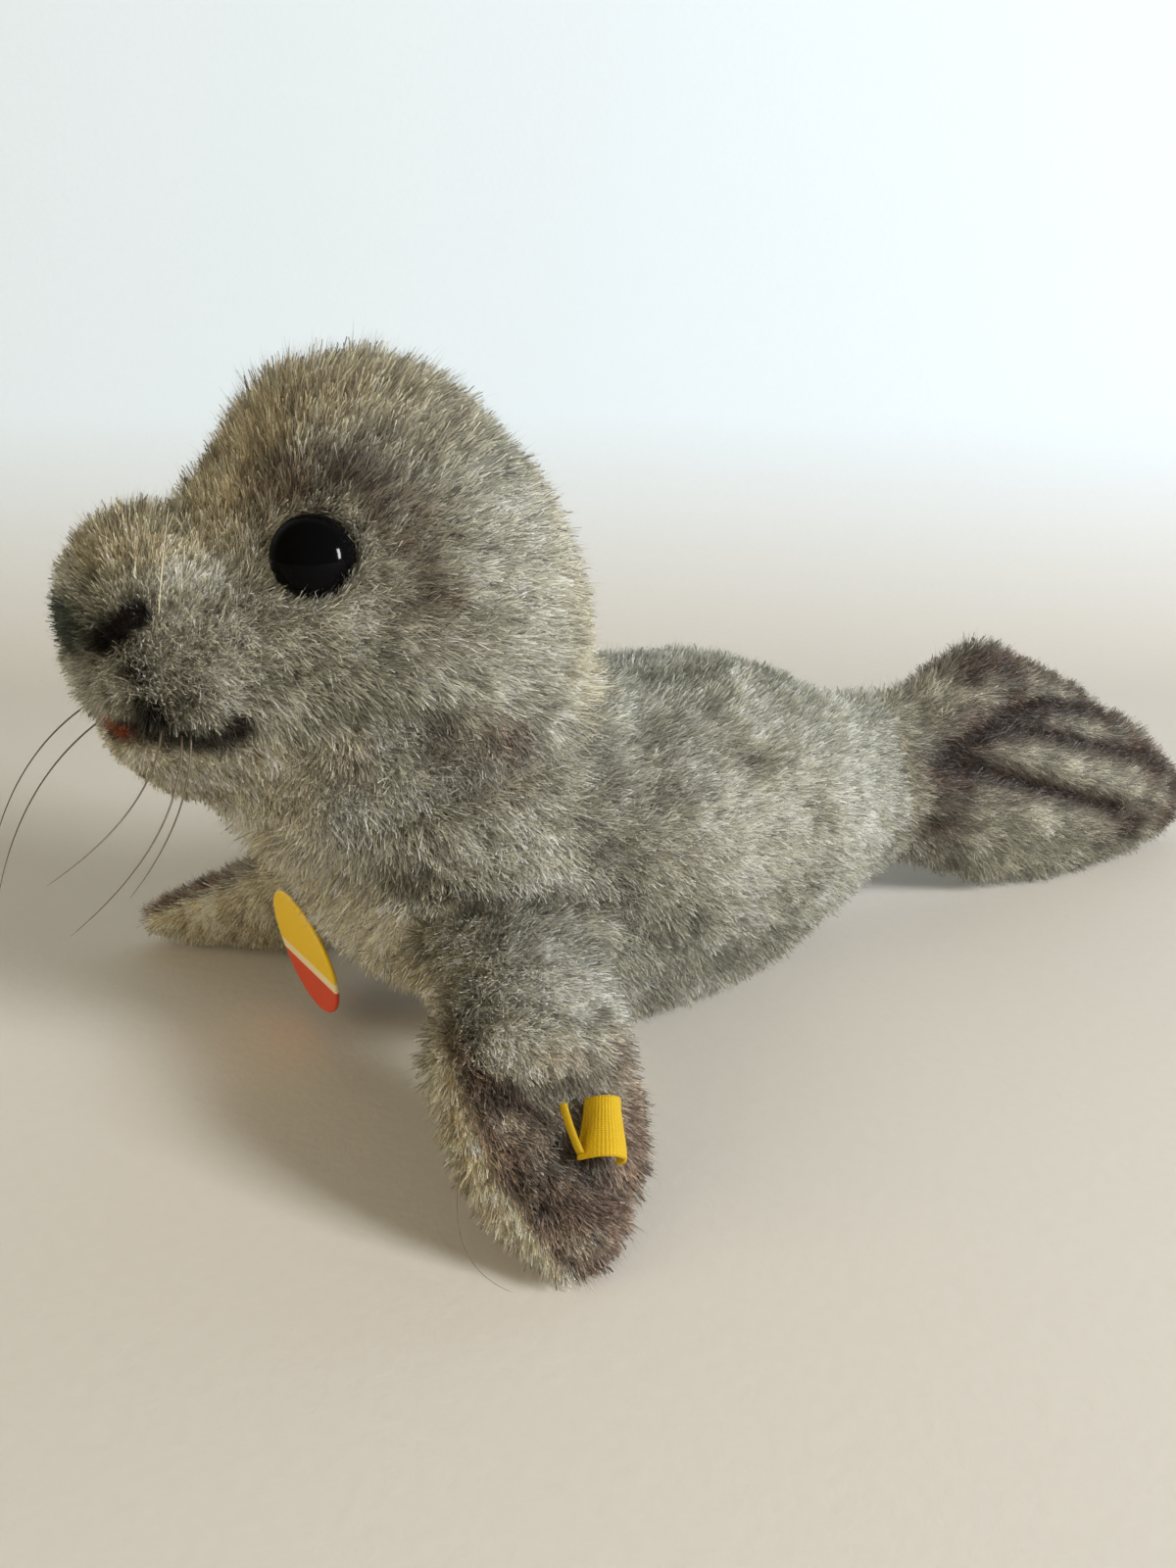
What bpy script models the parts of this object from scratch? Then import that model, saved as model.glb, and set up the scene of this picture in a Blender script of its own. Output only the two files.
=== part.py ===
"""A plush seal lying on its belly with its head raised, at real size.

The seal faces -Y, its left side is +X and it rests on z = 0. Each stuffed piece is a sewn skin
drawn smoothly through slices. A slice is one cut across the stuffed piece: the two ends of its
long axis and its half thickness. Tables and sizes are in millimetres, measured from the point
midway between the tips of the front flippers, and the finished pieces are in metres.
"""
import math

import bmesh
import bpy
import numpy as np
from mathutils import Matrix, Vector
from mathutils.bvhtree import BVHTree

MM = 0.001

# Clearances, and where the rays start that find a place on a piece's surface from outside it
SEAM_GAP = 0.3
SEAT_GAP = 0.3
FAR_OUTSIDE = 1000.0

# Seams that two stuffed pieces share: long axis ends (x, y, z) and half thickness
NECK_FRONT = (0.0, -9.0, 50.0)
NECK_BACK = (0.0, 46.5, 65.0)
NECK_HALF_WIDTH = 24.5
TAIL_LOW = (2.0, 121.0, 13.0)
TAIL_HIGH = (0.0, 121.0, 47.0)
TAIL_HALF_WIDTH = 11.5

# Torso between the two seams: front or lower edge, back or upper edge, half width
TORSO_SLICES = (
    ((0.0, -5.5, 40.5), (0.0, 57.0, 64.5), 28.0),
    ((0.0, 2.0, 28.0), (0.0, 66.0, 64.0), 30.5),
    ((0.0, 17.0, 13.5), (0.0, 75.0, 63.0), 32.0),
    ((0.0, 37.0, 2.0), (0.0, 84.0, 61.0), 32.5),
    ((0.0, 60.0, -1.0), (0.0, 92.0, 58.5), 31.0),
    ((0.0, 83.0, -0.5), (0.0, 101.0, 55.5), 26.5),
    ((0.0, 102.0, 5.0), (0.0, 110.0, 51.5), 18.5),
)

# Head from the nose to the back of the skull: lower edge, upper edge, half width
NOSE_TIP = (0.0, -31.0, 83.0)
HEAD_SLICES = (
    ((0.0, -29.5, 70.5), (0.0, -28.5, 91.0), 9.0),
    ((0.0, -27.0, 59.5), (0.0, -25.0, 94.5), 14.5),
    ((0.0, -21.0, 53.0), (0.0, -19.5, 96.5), 17.5),
    ((0.0, -14.5, 50.5), (0.0, -14.0, 97.0), 19.5),
    ((0.0, -8.0, 47.0), (0.0, -8.0, 102.0), 22.0),
    ((0.0, -1.0, 42.0), (0.0, -2.0, 111.0), 25.5),
    ((0.0, 8.0, 40.0), (0.0, 6.0, 114.5), 28.0),
    ((0.0, 18.0, 41.0), (0.0, 15.0, 115.5), 29.5),
    ((0.0, 28.0, 44.0), (0.0, 25.0, 112.5), 29.0),
    ((0.0, 37.0, 49.0), (0.0, 34.0, 105.5), 25.5),
    ((0.0, 43.0, 57.0), (0.0, 41.0, 96.0), 19.0),
)
HEAD_BACK = (0.0, 48.0, 76.0)

# Mouth, a soft furrow on each side of the muzzle from the front to the corner (y, z)
MOUTH_LINES = (((-28.0, 67.0), (-16.0, 63.5)), ((-16.0, 63.5), (-8.5, 65.5)))
MOUTH_DEPTH = 1.8
MOUTH_HALF_WIDTH = 2.6

# Front flippers from the shoulder to the tip: front edge, rear edge, half thickness. The left
# one is planted out to the side and the right one reaches forward.
SHOULDER_DEPTH = 20.0
LEFT_FLIPPER_SLICES = (
    ((33.0, 7.0, 31.5), (33.0, 33.0, 27.5), 9.5),
    ((43.0, 0.0, 26.0), (43.0, 32.5, 21.0), 10.0),
    ((50.0, -2.5, 17.0), (50.0, 30.5, 13.0), 8.5),
    ((56.5, 0.5, 8.5), (56.0, 27.5, 7.0), 6.5),
    ((61.5, 4.5, 3.5), (61.0, 22.5, 3.5), 4.5),
)
LEFT_FLIPPER_TIP = (65.0, 11.0, 1.5)
RIGHT_FLIPPER_SLICES = (
    ((-32.0, 3.0, 27.5), (-32.0, 29.0, 16.0), 9.0),
    ((-41.0, -1.5, 22.5), (-42.0, 24.0, 7.5), 9.0),
    ((-49.0, -6.0, 18.0), (-50.0, 16.0, 1.5), 7.5),
    ((-56.5, -11.0, 13.0), (-57.5, 6.0, 0.5), 6.0),
    ((-62.5, -15.0, 8.5), (-63.0, -4.0, 1.0), 4.0),
)
RIGHT_FLIPPER_TIP = (-66.5, -14.0, 3.5)

# Folds of the left flipper's outer face (y, z): along its front ridge, and where its upper arm ends
FLIPPER_VALLEY = (
    ((4.7, 25.0), (11.1, 21.5)),
    ((11.1, 21.5), (14.0, 16.2)),
    ((14.0, 16.2), (21.0, 8.2)),
    ((11.5, 23.0), (26.0, 20.5)),
)
VALLEY_DEPTH = 2.0
VALLEY_HALF_WIDTH = 3.6

# Tail fin, a broad fan standing on its lower edge: lower edge, upper edge, half thickness
FIN_SLICES = (
    ((5.0, 136.0, 7.0), (0.0, 134.0, 53.0), 10.5),
    ((9.0, 152.0, 1.0), (-1.0, 152.0, 58.5), 10.0),
    ((13.0, 170.0, -0.5), (-1.0, 173.0, 50.5), 9.5),
    ((14.0, 188.0, -0.5), (0.0, 194.0, 39.5), 9.0),
    ((14.0, 204.0, 0.5), (2.0, 211.0, 28.0), 7.5),
    ((13.0, 213.5, 3.0), (5.0, 219.0, 19.0), 5.5),
)
FIN_TIP = (8.0, 224.0, 10.5)

# Tucks stitched into each face of the fin, in straight runs: near end and far end (y, z)
FIN_TUCKS = (
    ((150.8, 42.2), (166.9, 41.9)),
    ((166.9, 41.9), (194.0, 35.0)),
    ((132.6, 35.7), (143.2, 39.0)),
    ((143.2, 39.0), (154.2, 39.2)),
    ((154.2, 39.2), (169.6, 34.5)),
    ((169.6, 34.5), (205.7, 23.1)),
    ((132.5, 35.1), (142.0, 32.2)),
    ((142.0, 32.2), (188.0, 15.0)),
)
TUCK_DEPTH = 2.2
TUCK_HALF_WIDTH = 3.4

# Eyes: domed glossy buttons on a short shank, at one place on each side of the head
EYE_Y = -3.0
EYE_Z = 91.0
EYE_RADIUS = 5.5
EYE_DOME = 4.2
EYE_BACK = 1.2
EYE_SET_IN = 2.2
SHANK_RADIUS = 1.5
SHANK_LENGTH = 4.0
EYE_TURN_FORWARD = 24.0
EYE_TURN_UP = 12.0

# Whiskers: root aimed at the muzzle's side (y, z), tip (x, y, z), how far the middle bows out
WHISKER_RADIUS = 0.25
WHISKERS_LEFT = (
    ((-23.0, 68.5), (27.0, -40.0, 56.0), 2.0),
    ((-20.5, 67.5), (23.0, -38.0, 47.0), 2.5),
    ((-19.5, 67.0), (20.0, -30.0, 49.0), 1.5),
)
WHISKERS_RIGHT = (
    ((-24.5, 65.5), (-21.0, -43.5, 33.0), 6.0),
    ((-23.5, 67.5), (-23.0, -43.0, 40.0), 6.0),
)

# Round card tag that hangs in front of the chest
TAG_RADIUS = 11.8
TAG_THICKNESS = 0.8
TAG_TOP_Z = 27.4
TAG_LEAN = 10.0
TAG_TURN = 4.0
TAG_X = -15.6

# Woven ribbon sewn to the left flipper as a small standing arch: where it is aimed at from outside
# (y, z), and the way that its open lower end points
RIBBON_AT = (18.0, 17.5)
RIBBON_WAY = (0.62, -0.42, -0.66)
RIBBON_WIDTH = 8.0
RIBBON_THICKNESS = 0.5
RIBBON_SPAN = 5.0
RIBBON_RISE = 4.4

# Mesh fineness: rings along a piece and points round it
BODY_RING_COUNT, BODY_POINT_COUNT = 30, 36
HEAD_RING_COUNT, HEAD_POINT_COUNT = 32, 36
FLIPPER_RING_COUNT, FLIPPER_POINT_COUNT = 20, 24
FIN_RING_COUNT, FIN_POINT_COUNT = 34, 40
EYE_POINT_COUNT = 24
TAG_POINT_COUNT = 40
RIBBON_STEP_COUNT = 14

# Colours (linear red, green, blue) and roughness
FINISHES = {
    "torso_plush": ((0.26, 0.25, 0.23), 0.95),
    "head_plush": ((0.30, 0.28, 0.24), 0.95),
    "flipper_plush": ((0.22, 0.20, 0.18), 0.95),
    "fin_plush": ((0.17, 0.15, 0.13), 0.95),
    "black_eye": ((0.01, 0.01, 0.01), 0.05),
    "nylon": ((0.18, 0.13, 0.09), 0.35),
    "card": ((0.85, 0.55, 0.05), 0.6),
    "ribbon_weave": ((0.85, 0.60, 0.03), 0.8),
}


def clear_scene():
    """Remove every object that the file starts with."""
    for item in list(bpy.data.objects):
        bpy.data.objects.remove(item, do_unlink=True)


def finish(name):
    """Return the named material, made once."""
    if name in bpy.data.materials:
        return bpy.data.materials[name]
    colour, roughness = FINISHES[name]
    material = bpy.data.materials.new(name)
    material.use_nodes = True
    shader = material.node_tree.nodes["Principled BSDF"]
    shader.inputs["Base Color"].default_value = (*colour, 1.0)
    shader.inputs["Roughness"].default_value = roughness
    shader.inputs["Metallic"].default_value = 0.0
    return material


def add_object(name, mesh, finish_name):
    """Link a mesh as a smooth named object with its own finish."""
    piece = bpy.data.objects.new(name, mesh)
    bpy.context.scene.collection.objects.link(piece)
    mesh.materials.append(finish(finish_name))
    mesh.shade_smooth()
    mesh.set_sharp_from_angle(angle=math.radians(50.0))
    return piece


def mesh_from(name, points, faces):
    """Build a mesh in metres from points in millimetres, with its faces turned outward."""
    mesh = bpy.data.meshes.new(name)
    mesh.from_pydata([Vector(point) * MM for point in points], [], faces)
    form = bmesh.new()
    form.from_mesh(mesh)
    bmesh.ops.recalc_face_normals(form, faces=form.faces)
    form.to_mesh(mesh)
    form.free()
    return mesh


def smooth_through(knots, values, places):
    """Monotone cubic curve through values at knots, read at places.

    The slope at each knot is the harmonic mean of the slopes beside it, and zero at a turn,
    so the curve never swings past the values that it joins.
    """
    steps = np.diff(knots)
    rises = np.diff(values) / steps
    slopes = np.zeros(len(knots))
    same_way = rises[:-1] * rises[1:] > 0.0
    weight_a = 2.0 * steps[1:] + steps[:-1]
    weight_b = steps[1:] + 2.0 * steps[:-1]
    safe_a = np.where(same_way, rises[:-1], 1.0)
    safe_b = np.where(same_way, rises[1:], 1.0)
    mean = (weight_a + weight_b) / (weight_a / safe_a + weight_b / safe_b)
    slopes[1:-1] = np.where(same_way, mean, 0.0)
    slopes[0] = rises[0]
    slopes[-1] = rises[-1]
    index = np.clip(np.searchsorted(knots, places) - 1, 0, len(steps) - 1)
    share = (places - knots[index]) / steps[index]
    start = (1.0 + 2.0 * share) * (1.0 - share) ** 2 * values[index]
    leave = share * (1.0 - share) ** 2 * steps[index] * slopes[index]
    end = share ** 2 * (3.0 - 2.0 * share) * values[index + 1]
    arrive = share ** 2 * (share - 1.0) * steps[index] * slopes[index + 1]
    return start + leave + end + arrive


def ring_places(count, round_start, round_end):
    """Shares from 0 to 1 along a piece, packed closer towards an end that is a round tip."""
    even = np.linspace(0.0, 1.0, count)
    if round_start and round_end:
        return (1.0 - np.cos(math.pi * even)) / 2.0
    if round_end:
        return np.sin(math.pi / 2.0 * even)
    return even


def skin(slices, rings, points_round):
    """Closed surface through the slices, as points (millimetres) and faces.

    Each ring is an ellipse with its long axis along the slice and its short axis square to both
    the slice and the piece's centre line. The squares of both half axes are interpolated, so a
    slice of no size makes a round tip. An end slice with a size is closed by a flat face.
    """
    first = np.array([slice_[0] for slice_ in slices])
    second = np.array([slice_[1] for slice_ in slices])
    half_thick = np.array([slice_[2] for slice_ in slices])
    centre = (first + second) / 2.0
    half_axis = (second - first) / 2.0
    half_long = np.linalg.norm(half_axis, axis=1)
    tip_start = half_long[0] == 0.0
    tip_end = half_long[-1] == 0.0
    if tip_start:
        half_axis[0] = half_axis[1]
    if tip_end:
        half_axis[-1] = half_axis[-2]
    direction = half_axis / np.linalg.norm(half_axis, axis=1)[:, None]
    knots = np.concatenate([[0.0], np.cumsum(np.linalg.norm(np.diff(centre, axis=0), axis=1))])
    places = ring_places(rings, tip_start, tip_end) * knots[-1]

    def along(values):
        return smooth_through(knots, values, places)

    line = np.stack([along(centre[:, axis]) for axis in range(3)], axis=1)
    long_way = np.stack([along(direction[:, axis]) for axis in range(3)], axis=1)
    long_way /= np.linalg.norm(long_way, axis=1)[:, None]
    long_size = np.sqrt(np.maximum(along(half_long ** 2), 0.0))
    thick_size = np.sqrt(np.maximum(along(half_thick ** 2), 0.0))
    forward = np.gradient(line, axis=0)
    thick_way = np.cross(forward, long_way)
    thick_way /= np.linalg.norm(thick_way, axis=1)[:, None]

    angle = np.linspace(0.0, 2.0 * math.pi, points_round, endpoint=False)
    across = np.cos(angle)[None, :, None] * (long_way * long_size[:, None])[:, None, :]
    through = np.sin(angle)[None, :, None] * (thick_way * thick_size[:, None])[:, None, :]
    grid = line[:, None, :] + across + through

    kept = grid[1 if tip_start else 0:-1 if tip_end else None]
    points = [tuple(point) for point in kept.reshape(-1, 3)]
    faces = []
    for ring in range(len(kept) - 1):
        for step in range(points_round):
            here = ring * points_round + step
            beside = ring * points_round + (step + 1) % points_round
            faces.append((here, beside, beside + points_round, here + points_round))
    last = (len(kept) - 1) * points_round
    close_end(points, faces, 0, points_round, tuple(line[0]) if tip_start else None)
    close_end(points, faces, last, points_round, tuple(line[-1]) if tip_end else None)
    return points, faces


def close_end(points, faces, start, count, tip):
    """Close an end ring with a fan to its tip, or with one flat face where it has none."""
    if tip is None:
        faces.append(tuple(range(start, start + count)))
        return
    points.append(tip)
    for step in range(count):
        faces.append((start + step, start + (step + 1) % count, len(points) - 1))


def trim(mesh, point, outward):
    """Cut a closed mesh flat at a plane and keep the side that the normal points away from."""
    form = bmesh.new()
    form.from_mesh(mesh)
    everything = form.verts[:] + form.edges[:] + form.faces[:]
    cut = bmesh.ops.bisect_plane(
        form, geom=everything, plane_co=Vector(point) * MM, plane_no=outward, clear_outer=True
    )
    rim = [item for item in cut["geom_cut"] if isinstance(item, bmesh.types.BMEdge)]
    if rim:
        bmesh.ops.contextual_create(form, geom=rim)
    bmesh.ops.recalc_face_normals(form, faces=form.faces)
    form.to_mesh(mesh)
    form.free()


def cut_away(piece, cutter, name):
    """Cut the cutter's shape out of a piece with an exact Boolean."""
    cutter.hide_render = True
    cutter.display_type = "WIRE"
    boolean = piece.modifiers.new(name, "BOOLEAN")
    boolean.operation = "DIFFERENCE"
    boolean.solver = "EXACT"
    boolean.object = cutter


def grown_copy(piece, name, clearance):
    """Guide of a piece's shape, grown along its normals by a clearance."""
    guide = bpy.data.objects.new(name, piece.data.copy())
    bpy.context.scene.collection.objects.link(guide)
    grow = guide.modifiers.new("clearance", "DISPLACE")
    grow.mid_level = 0.0
    grow.strength = clearance * MM
    guide.hide_render = True
    guide.display_type = "WIRE"
    return guide


def surface_of(mesh):
    """Search tree for finding points on a piece's outer surface."""
    form = bmesh.new()
    form.from_mesh(mesh)
    tree = BVHTree.FromBMesh(form)
    form.free()
    return tree


def hit(tree, start, direction):
    """First point in millimetres on a surface from a start point along a direction."""
    place, normal, _, _ = tree.ray_cast(Vector(start) * MM, Vector(direction))
    return place / MM, normal


def neck_normal():
    """Unit normal of the neck seam, pointing up out of the torso."""
    run = Vector(NECK_BACK) - Vector(NECK_FRONT)
    return Vector((1.0, 0.0, 0.0)).cross(run).normalized()


def make_torso():
    """Torso with neck and chest, flat where the belly rests."""
    neck = (NECK_FRONT, NECK_BACK, NECK_HALF_WIDTH)
    tail = (TAIL_LOW, TAIL_HIGH, TAIL_HALF_WIDTH)
    points, faces = skin((neck, *TORSO_SLICES, tail), BODY_RING_COUNT, BODY_POINT_COUNT)
    mesh = mesh_from("torso", points, faces)
    trim(mesh, (0.0, 0.0, 0.0), (0.0, 0.0, -1.0))
    return add_object("torso", mesh, "torso_plush")


def make_head():
    """Head with its muzzle, sewn on at the neck seam."""
    nose = (NOSE_TIP, NOSE_TIP, 0.0)
    back = (HEAD_BACK, HEAD_BACK, 0.0)
    points, faces = skin((nose, *HEAD_SLICES, back), HEAD_RING_COUNT, HEAD_POINT_COUNT)
    mesh = mesh_from("head", points, faces)
    press_furrows(mesh, MOUTH_LINES, MOUTH_DEPTH, MOUTH_HALF_WIDTH)
    up = neck_normal()
    trim(mesh, Vector(NECK_FRONT) + up * SEAM_GAP, -up)
    return add_object("head", mesh, "head_plush")


def make_flipper(slices, tip, valley, torso_guide, label):
    """Front flipper sewn to the side of the torso, from inside the shoulder to its tip."""
    front, rear, half = slices[0]
    inward = -math.copysign(SHOULDER_DEPTH, front[0])
    root = ((front[0] + inward, *front[1:]), (rear[0] + inward, *rear[1:]), half)
    points, faces = skin((root, *slices, (tip, tip, 0.0)), FLIPPER_RING_COUNT, FLIPPER_POINT_COUNT)
    mesh = mesh_from(label, points, faces)
    if valley:
        press_furrows(mesh, valley, VALLEY_DEPTH, VALLEY_HALF_WIDTH)
    trim(mesh, (0.0, 0.0, 0.0), (0.0, 0.0, -1.0))
    flipper = add_object(label, mesh, "flipper_plush")
    cut_away(flipper, torso_guide, "shoulder_seam")
    return flipper


def press_furrows(mesh, furrows, depth, half_width):
    """Pull a skin in along straight furrows given in side view, on both of its sides.

    The pull falls off as a bell across each furrow, and the skin moves along its own normal,
    by less where it turns away from the side.
    """
    pulls = []
    for vertex in mesh.vertices:
        place = np.array((vertex.co.y / MM, vertex.co.z / MM))
        nearest = math.inf
        for start, end in furrows:
            run = np.subtract(end, start)
            share = np.clip(np.dot(place - start, run) / np.dot(run, run), 0.0, 1.0)
            nearest = min(nearest, float(np.linalg.norm(place - start - share * run)))
        bell = math.exp(-2.0 * (nearest / half_width) ** 2)
        pulls.append(depth * bell * abs(vertex.normal.x))
    for vertex, pull in zip(mesh.vertices, pulls):
        vertex.co -= vertex.normal * pull * MM


def make_fin():
    """Tail fin with its stitched tucks, standing on its flattened lower edge."""
    tail = tuple((x, y + SEAM_GAP, z) for x, y, z in (TAIL_LOW, TAIL_HIGH))
    tip = (FIN_TIP, FIN_TIP, 0.0)
    points, faces = skin(((*tail, TAIL_HALF_WIDTH), *FIN_SLICES, tip), FIN_RING_COUNT, FIN_POINT_COUNT)
    mesh = mesh_from("tail_fin", points, faces)
    press_furrows(mesh, FIN_TUCKS, TUCK_DEPTH, TUCK_HALF_WIDTH)
    trim(mesh, (0.0, 0.0, 0.0), (0.0, 0.0, -1.0))
    return add_object("tail_fin", mesh, "fin_plush")


def eye_profile(clearance):
    """Outline of an eye as (radius, height) from the dome's top to the shank's end."""
    outline = []
    for step in range(7):
        turn = math.pi / 2.0 * step / 6.0
        outline.append(((EYE_RADIUS + clearance) * math.sin(turn), (EYE_DOME + clearance) * math.cos(turn)))
    outline.append((EYE_RADIUS + clearance - 0.5, -EYE_BACK - clearance))
    outline.append((SHANK_RADIUS + clearance, -EYE_BACK - clearance))
    outline.append((SHANK_RADIUS + clearance, -EYE_BACK - SHANK_LENGTH - clearance))
    outline.append((0.0, -EYE_BACK - SHANK_LENGTH - clearance))
    return outline


def turned(name, outline):
    """Closed mesh of an outline turned about its own axis, from its top to its lower end."""
    points = [(0.0, 0.0, outline[0][1]), (0.0, 0.0, outline[-1][1])]
    rows = outline[1:-1]
    for radius, height in rows:
        for step in range(EYE_POINT_COUNT):
            turn = 2.0 * math.pi * step / EYE_POINT_COUNT
            points.append((radius * math.cos(turn), radius * math.sin(turn), height))
    faces = []
    for step in range(EYE_POINT_COUNT):
        beside = (step + 1) % EYE_POINT_COUNT
        faces.append((0, 2 + step, 2 + beside))
        for row in range(len(rows) - 1):
            upper = 2 + row * EYE_POINT_COUNT
            lower = upper + EYE_POINT_COUNT
            faces.append((upper + step, lower + step, lower + beside, upper + beside))
        lowest = 2 + (len(rows) - 1) * EYE_POINT_COUNT
        faces.append((1, lowest + beside, lowest + step))
    return mesh_from(name, points, faces)


def make_eye(side, head, head_surface, label):
    """Domed eye set into a socket that fits it; side is 1 for left and -1 for right."""
    place, _ = hit(head_surface, (side * FAR_OUTSIDE, EYE_Y, EYE_Z), (-side, 0.0, 0.0))
    yaw = math.radians(EYE_TURN_FORWARD)
    pitch = math.radians(EYE_TURN_UP)
    look = Vector((side * math.cos(yaw) * math.cos(pitch), -math.sin(yaw) * math.cos(pitch), math.sin(pitch)))
    turn = look.to_track_quat("Z", "Y").to_matrix().to_4x4()
    pose = Matrix.Translation((place - look * EYE_SET_IN) * MM) @ turn
    eye_mesh = turned(label, eye_profile(0.0))
    eye_mesh.transform(pose)
    eye = add_object(label, eye_mesh, "black_eye")
    socket_mesh = turned(label + "_socket", eye_profile(SEAT_GAP))
    socket_mesh.transform(pose)
    socket = bpy.data.objects.new(label + "_socket", socket_mesh)
    bpy.context.scene.collection.objects.link(socket)
    cut_away(head, socket, label + "_socket")
    return eye


def make_whisker(side, head_surface, root_at, tip, bow, label):
    """Thin nylon whisker that leaves the muzzle's side and droops to its tip."""
    place, normal = hit(head_surface, (side * FAR_OUTSIDE, *root_at), (-side, 0.0, 0.0))
    start = place + normal * (SEAT_GAP + WHISKER_RADIUS)
    end = Vector(tip)
    middle = (start + end) / 2.0 + Vector((side * bow * 0.6, -bow * 0.7, bow))
    curve = bpy.data.curves.new(label, "CURVE")
    curve.dimensions = "3D"
    curve.bevel_depth = WHISKER_RADIUS * MM
    curve.bevel_resolution = 2
    curve.use_fill_caps = True
    spline = curve.splines.new("POLY")
    steps = 10
    spline.points.add(steps)
    for step, point in enumerate(spline.points):
        share = step / steps
        near = (1.0 - share) ** 2
        far = share ** 2
        place = start * near + middle * (2.0 * share * (1.0 - share)) + end * far
        point.co = (*(place * MM), 1.0)
    whisker = bpy.data.objects.new(label, curve)
    bpy.context.scene.collection.objects.link(whisker)
    curve.materials.append(finish("nylon"))
    return whisker


def rooms(mesh, surface, away):
    """How far in metres each point of a mesh stands clear of a surface, along a direction."""
    found = []
    for vertex in mesh.vertices:
        place, _, _, _ = surface.ray_cast(vertex.co + away * FAR_OUTSIDE * MM, -away)
        if place is not None:
            found.append((vertex.co - place).dot(away))
    return found


def seat(mesh, others, away):
    """Slide a mesh along a direction until it just clears the others by the seating gap."""
    own_surface = surface_of(mesh)
    found = []
    for other in others:
        found.extend(rooms(mesh, surface_of(other), away))
        found.extend(rooms(other, own_surface, -away))
    mesh.transform(Matrix.Translation(away * (SEAT_GAP * MM - min(found))))


def make_tag(torso, flipper):
    """Round card tag that hangs in front of the chest and rests on the right front flipper."""
    points = []
    for depth in (-TAG_THICKNESS / 2.0, TAG_THICKNESS / 2.0):
        for step in range(TAG_POINT_COUNT):
            turn = 2.0 * math.pi * step / TAG_POINT_COUNT
            points.append((TAG_RADIUS * math.sin(turn), depth, TAG_RADIUS * (math.cos(turn) - 1.0)))
    front = tuple(range(TAG_POINT_COUNT))
    back = tuple(range(TAG_POINT_COUNT, 2 * TAG_POINT_COUNT))
    faces = [front, back]
    for step in range(TAG_POINT_COUNT):
        beside = (step + 1) % TAG_POINT_COUNT
        faces.append((step, beside, TAG_POINT_COUNT + beside, TAG_POINT_COUNT + step))
    mesh = mesh_from("chest_tag", points, faces)
    lean = Matrix.Rotation(math.radians(TAG_LEAN), 4, "X")
    turned_out = Matrix.Rotation(math.radians(TAG_TURN), 4, "Z")
    top = Matrix.Translation(Vector((TAG_X, 0.0, TAG_TOP_Z)) * MM)
    mesh.transform(top @ turned_out @ lean)
    seat(mesh, (torso, flipper), Vector((0.0, -1.0, 0.0)))
    return add_object("chest_tag", mesh, "card")


def make_ribbon(flipper):
    """Woven ribbon bent into a standing arch, its two ends down on the flipper."""
    place, normal = hit(surface_of(flipper), (FAR_OUTSIDE, *RIBBON_AT), (-1.0, 0.0, 0.0))
    row = RIBBON_STEP_COUNT + 1
    points = []
    for across in (-RIBBON_WIDTH / 2.0, RIBBON_WIDTH / 2.0):
        for side in (0.0, RIBBON_THICKNESS):
            for step in range(row):
                turn = math.pi * step / RIBBON_STEP_COUNT
                run = (RIBBON_SPAN / 2.0 + side) * math.cos(turn)
                points.append((run, across, (RIBBON_RISE + side) * math.sin(turn)))
    faces = [(0, row, 3 * row, 2 * row), (row - 1, 2 * row - 1, 4 * row - 1, 3 * row - 1)]
    for step in range(RIBBON_STEP_COUNT):
        for low, high in ((0, row), (row, 3 * row), (3 * row, 2 * row), (2 * row, 0)):
            faces.append((low + step, high + step, high + step + 1, low + step + 1))
    mesh = mesh_from("ribbon_label", points, faces)
    length_way = Vector(RIBBON_WAY).normalized()
    rise_way = (normal - length_way * normal.dot(length_way)).normalized()
    span_way = length_way.cross(rise_way)
    pose = Matrix((span_way, length_way, rise_way)).transposed().to_4x4()
    mesh.transform(Matrix.Translation(place * MM) @ pose)
    seat(mesh, (flipper,), normal)
    return add_object("ribbon_label", mesh, "ribbon_weave")


def stand_at_origin(pieces):
    """Move the seal so that the origin lies midway along it and across it, on the floor."""
    bpy.context.view_layer.update()
    reach = []
    for piece in pieces:
        world = piece.matrix_world
        seen = piece.evaluated_get(bpy.context.evaluated_depsgraph_get())
        mesh = seen.to_mesh()
        reach.extend(world @ vertex.co for vertex in mesh.vertices)
        seen.to_mesh_clear()
    middle_x = (min(point.x for point in reach) + max(point.x for point in reach)) / 2.0
    middle_y = (min(point.y for point in reach) + max(point.y for point in reach)) / 2.0
    holder = bpy.data.objects.new("seal", None)
    bpy.context.scene.collection.objects.link(holder)
    for item in list(bpy.context.scene.collection.objects):
        if item is not holder:
            item.parent = holder
    holder.location = (-middle_x, -middle_y, 0.0)


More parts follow.
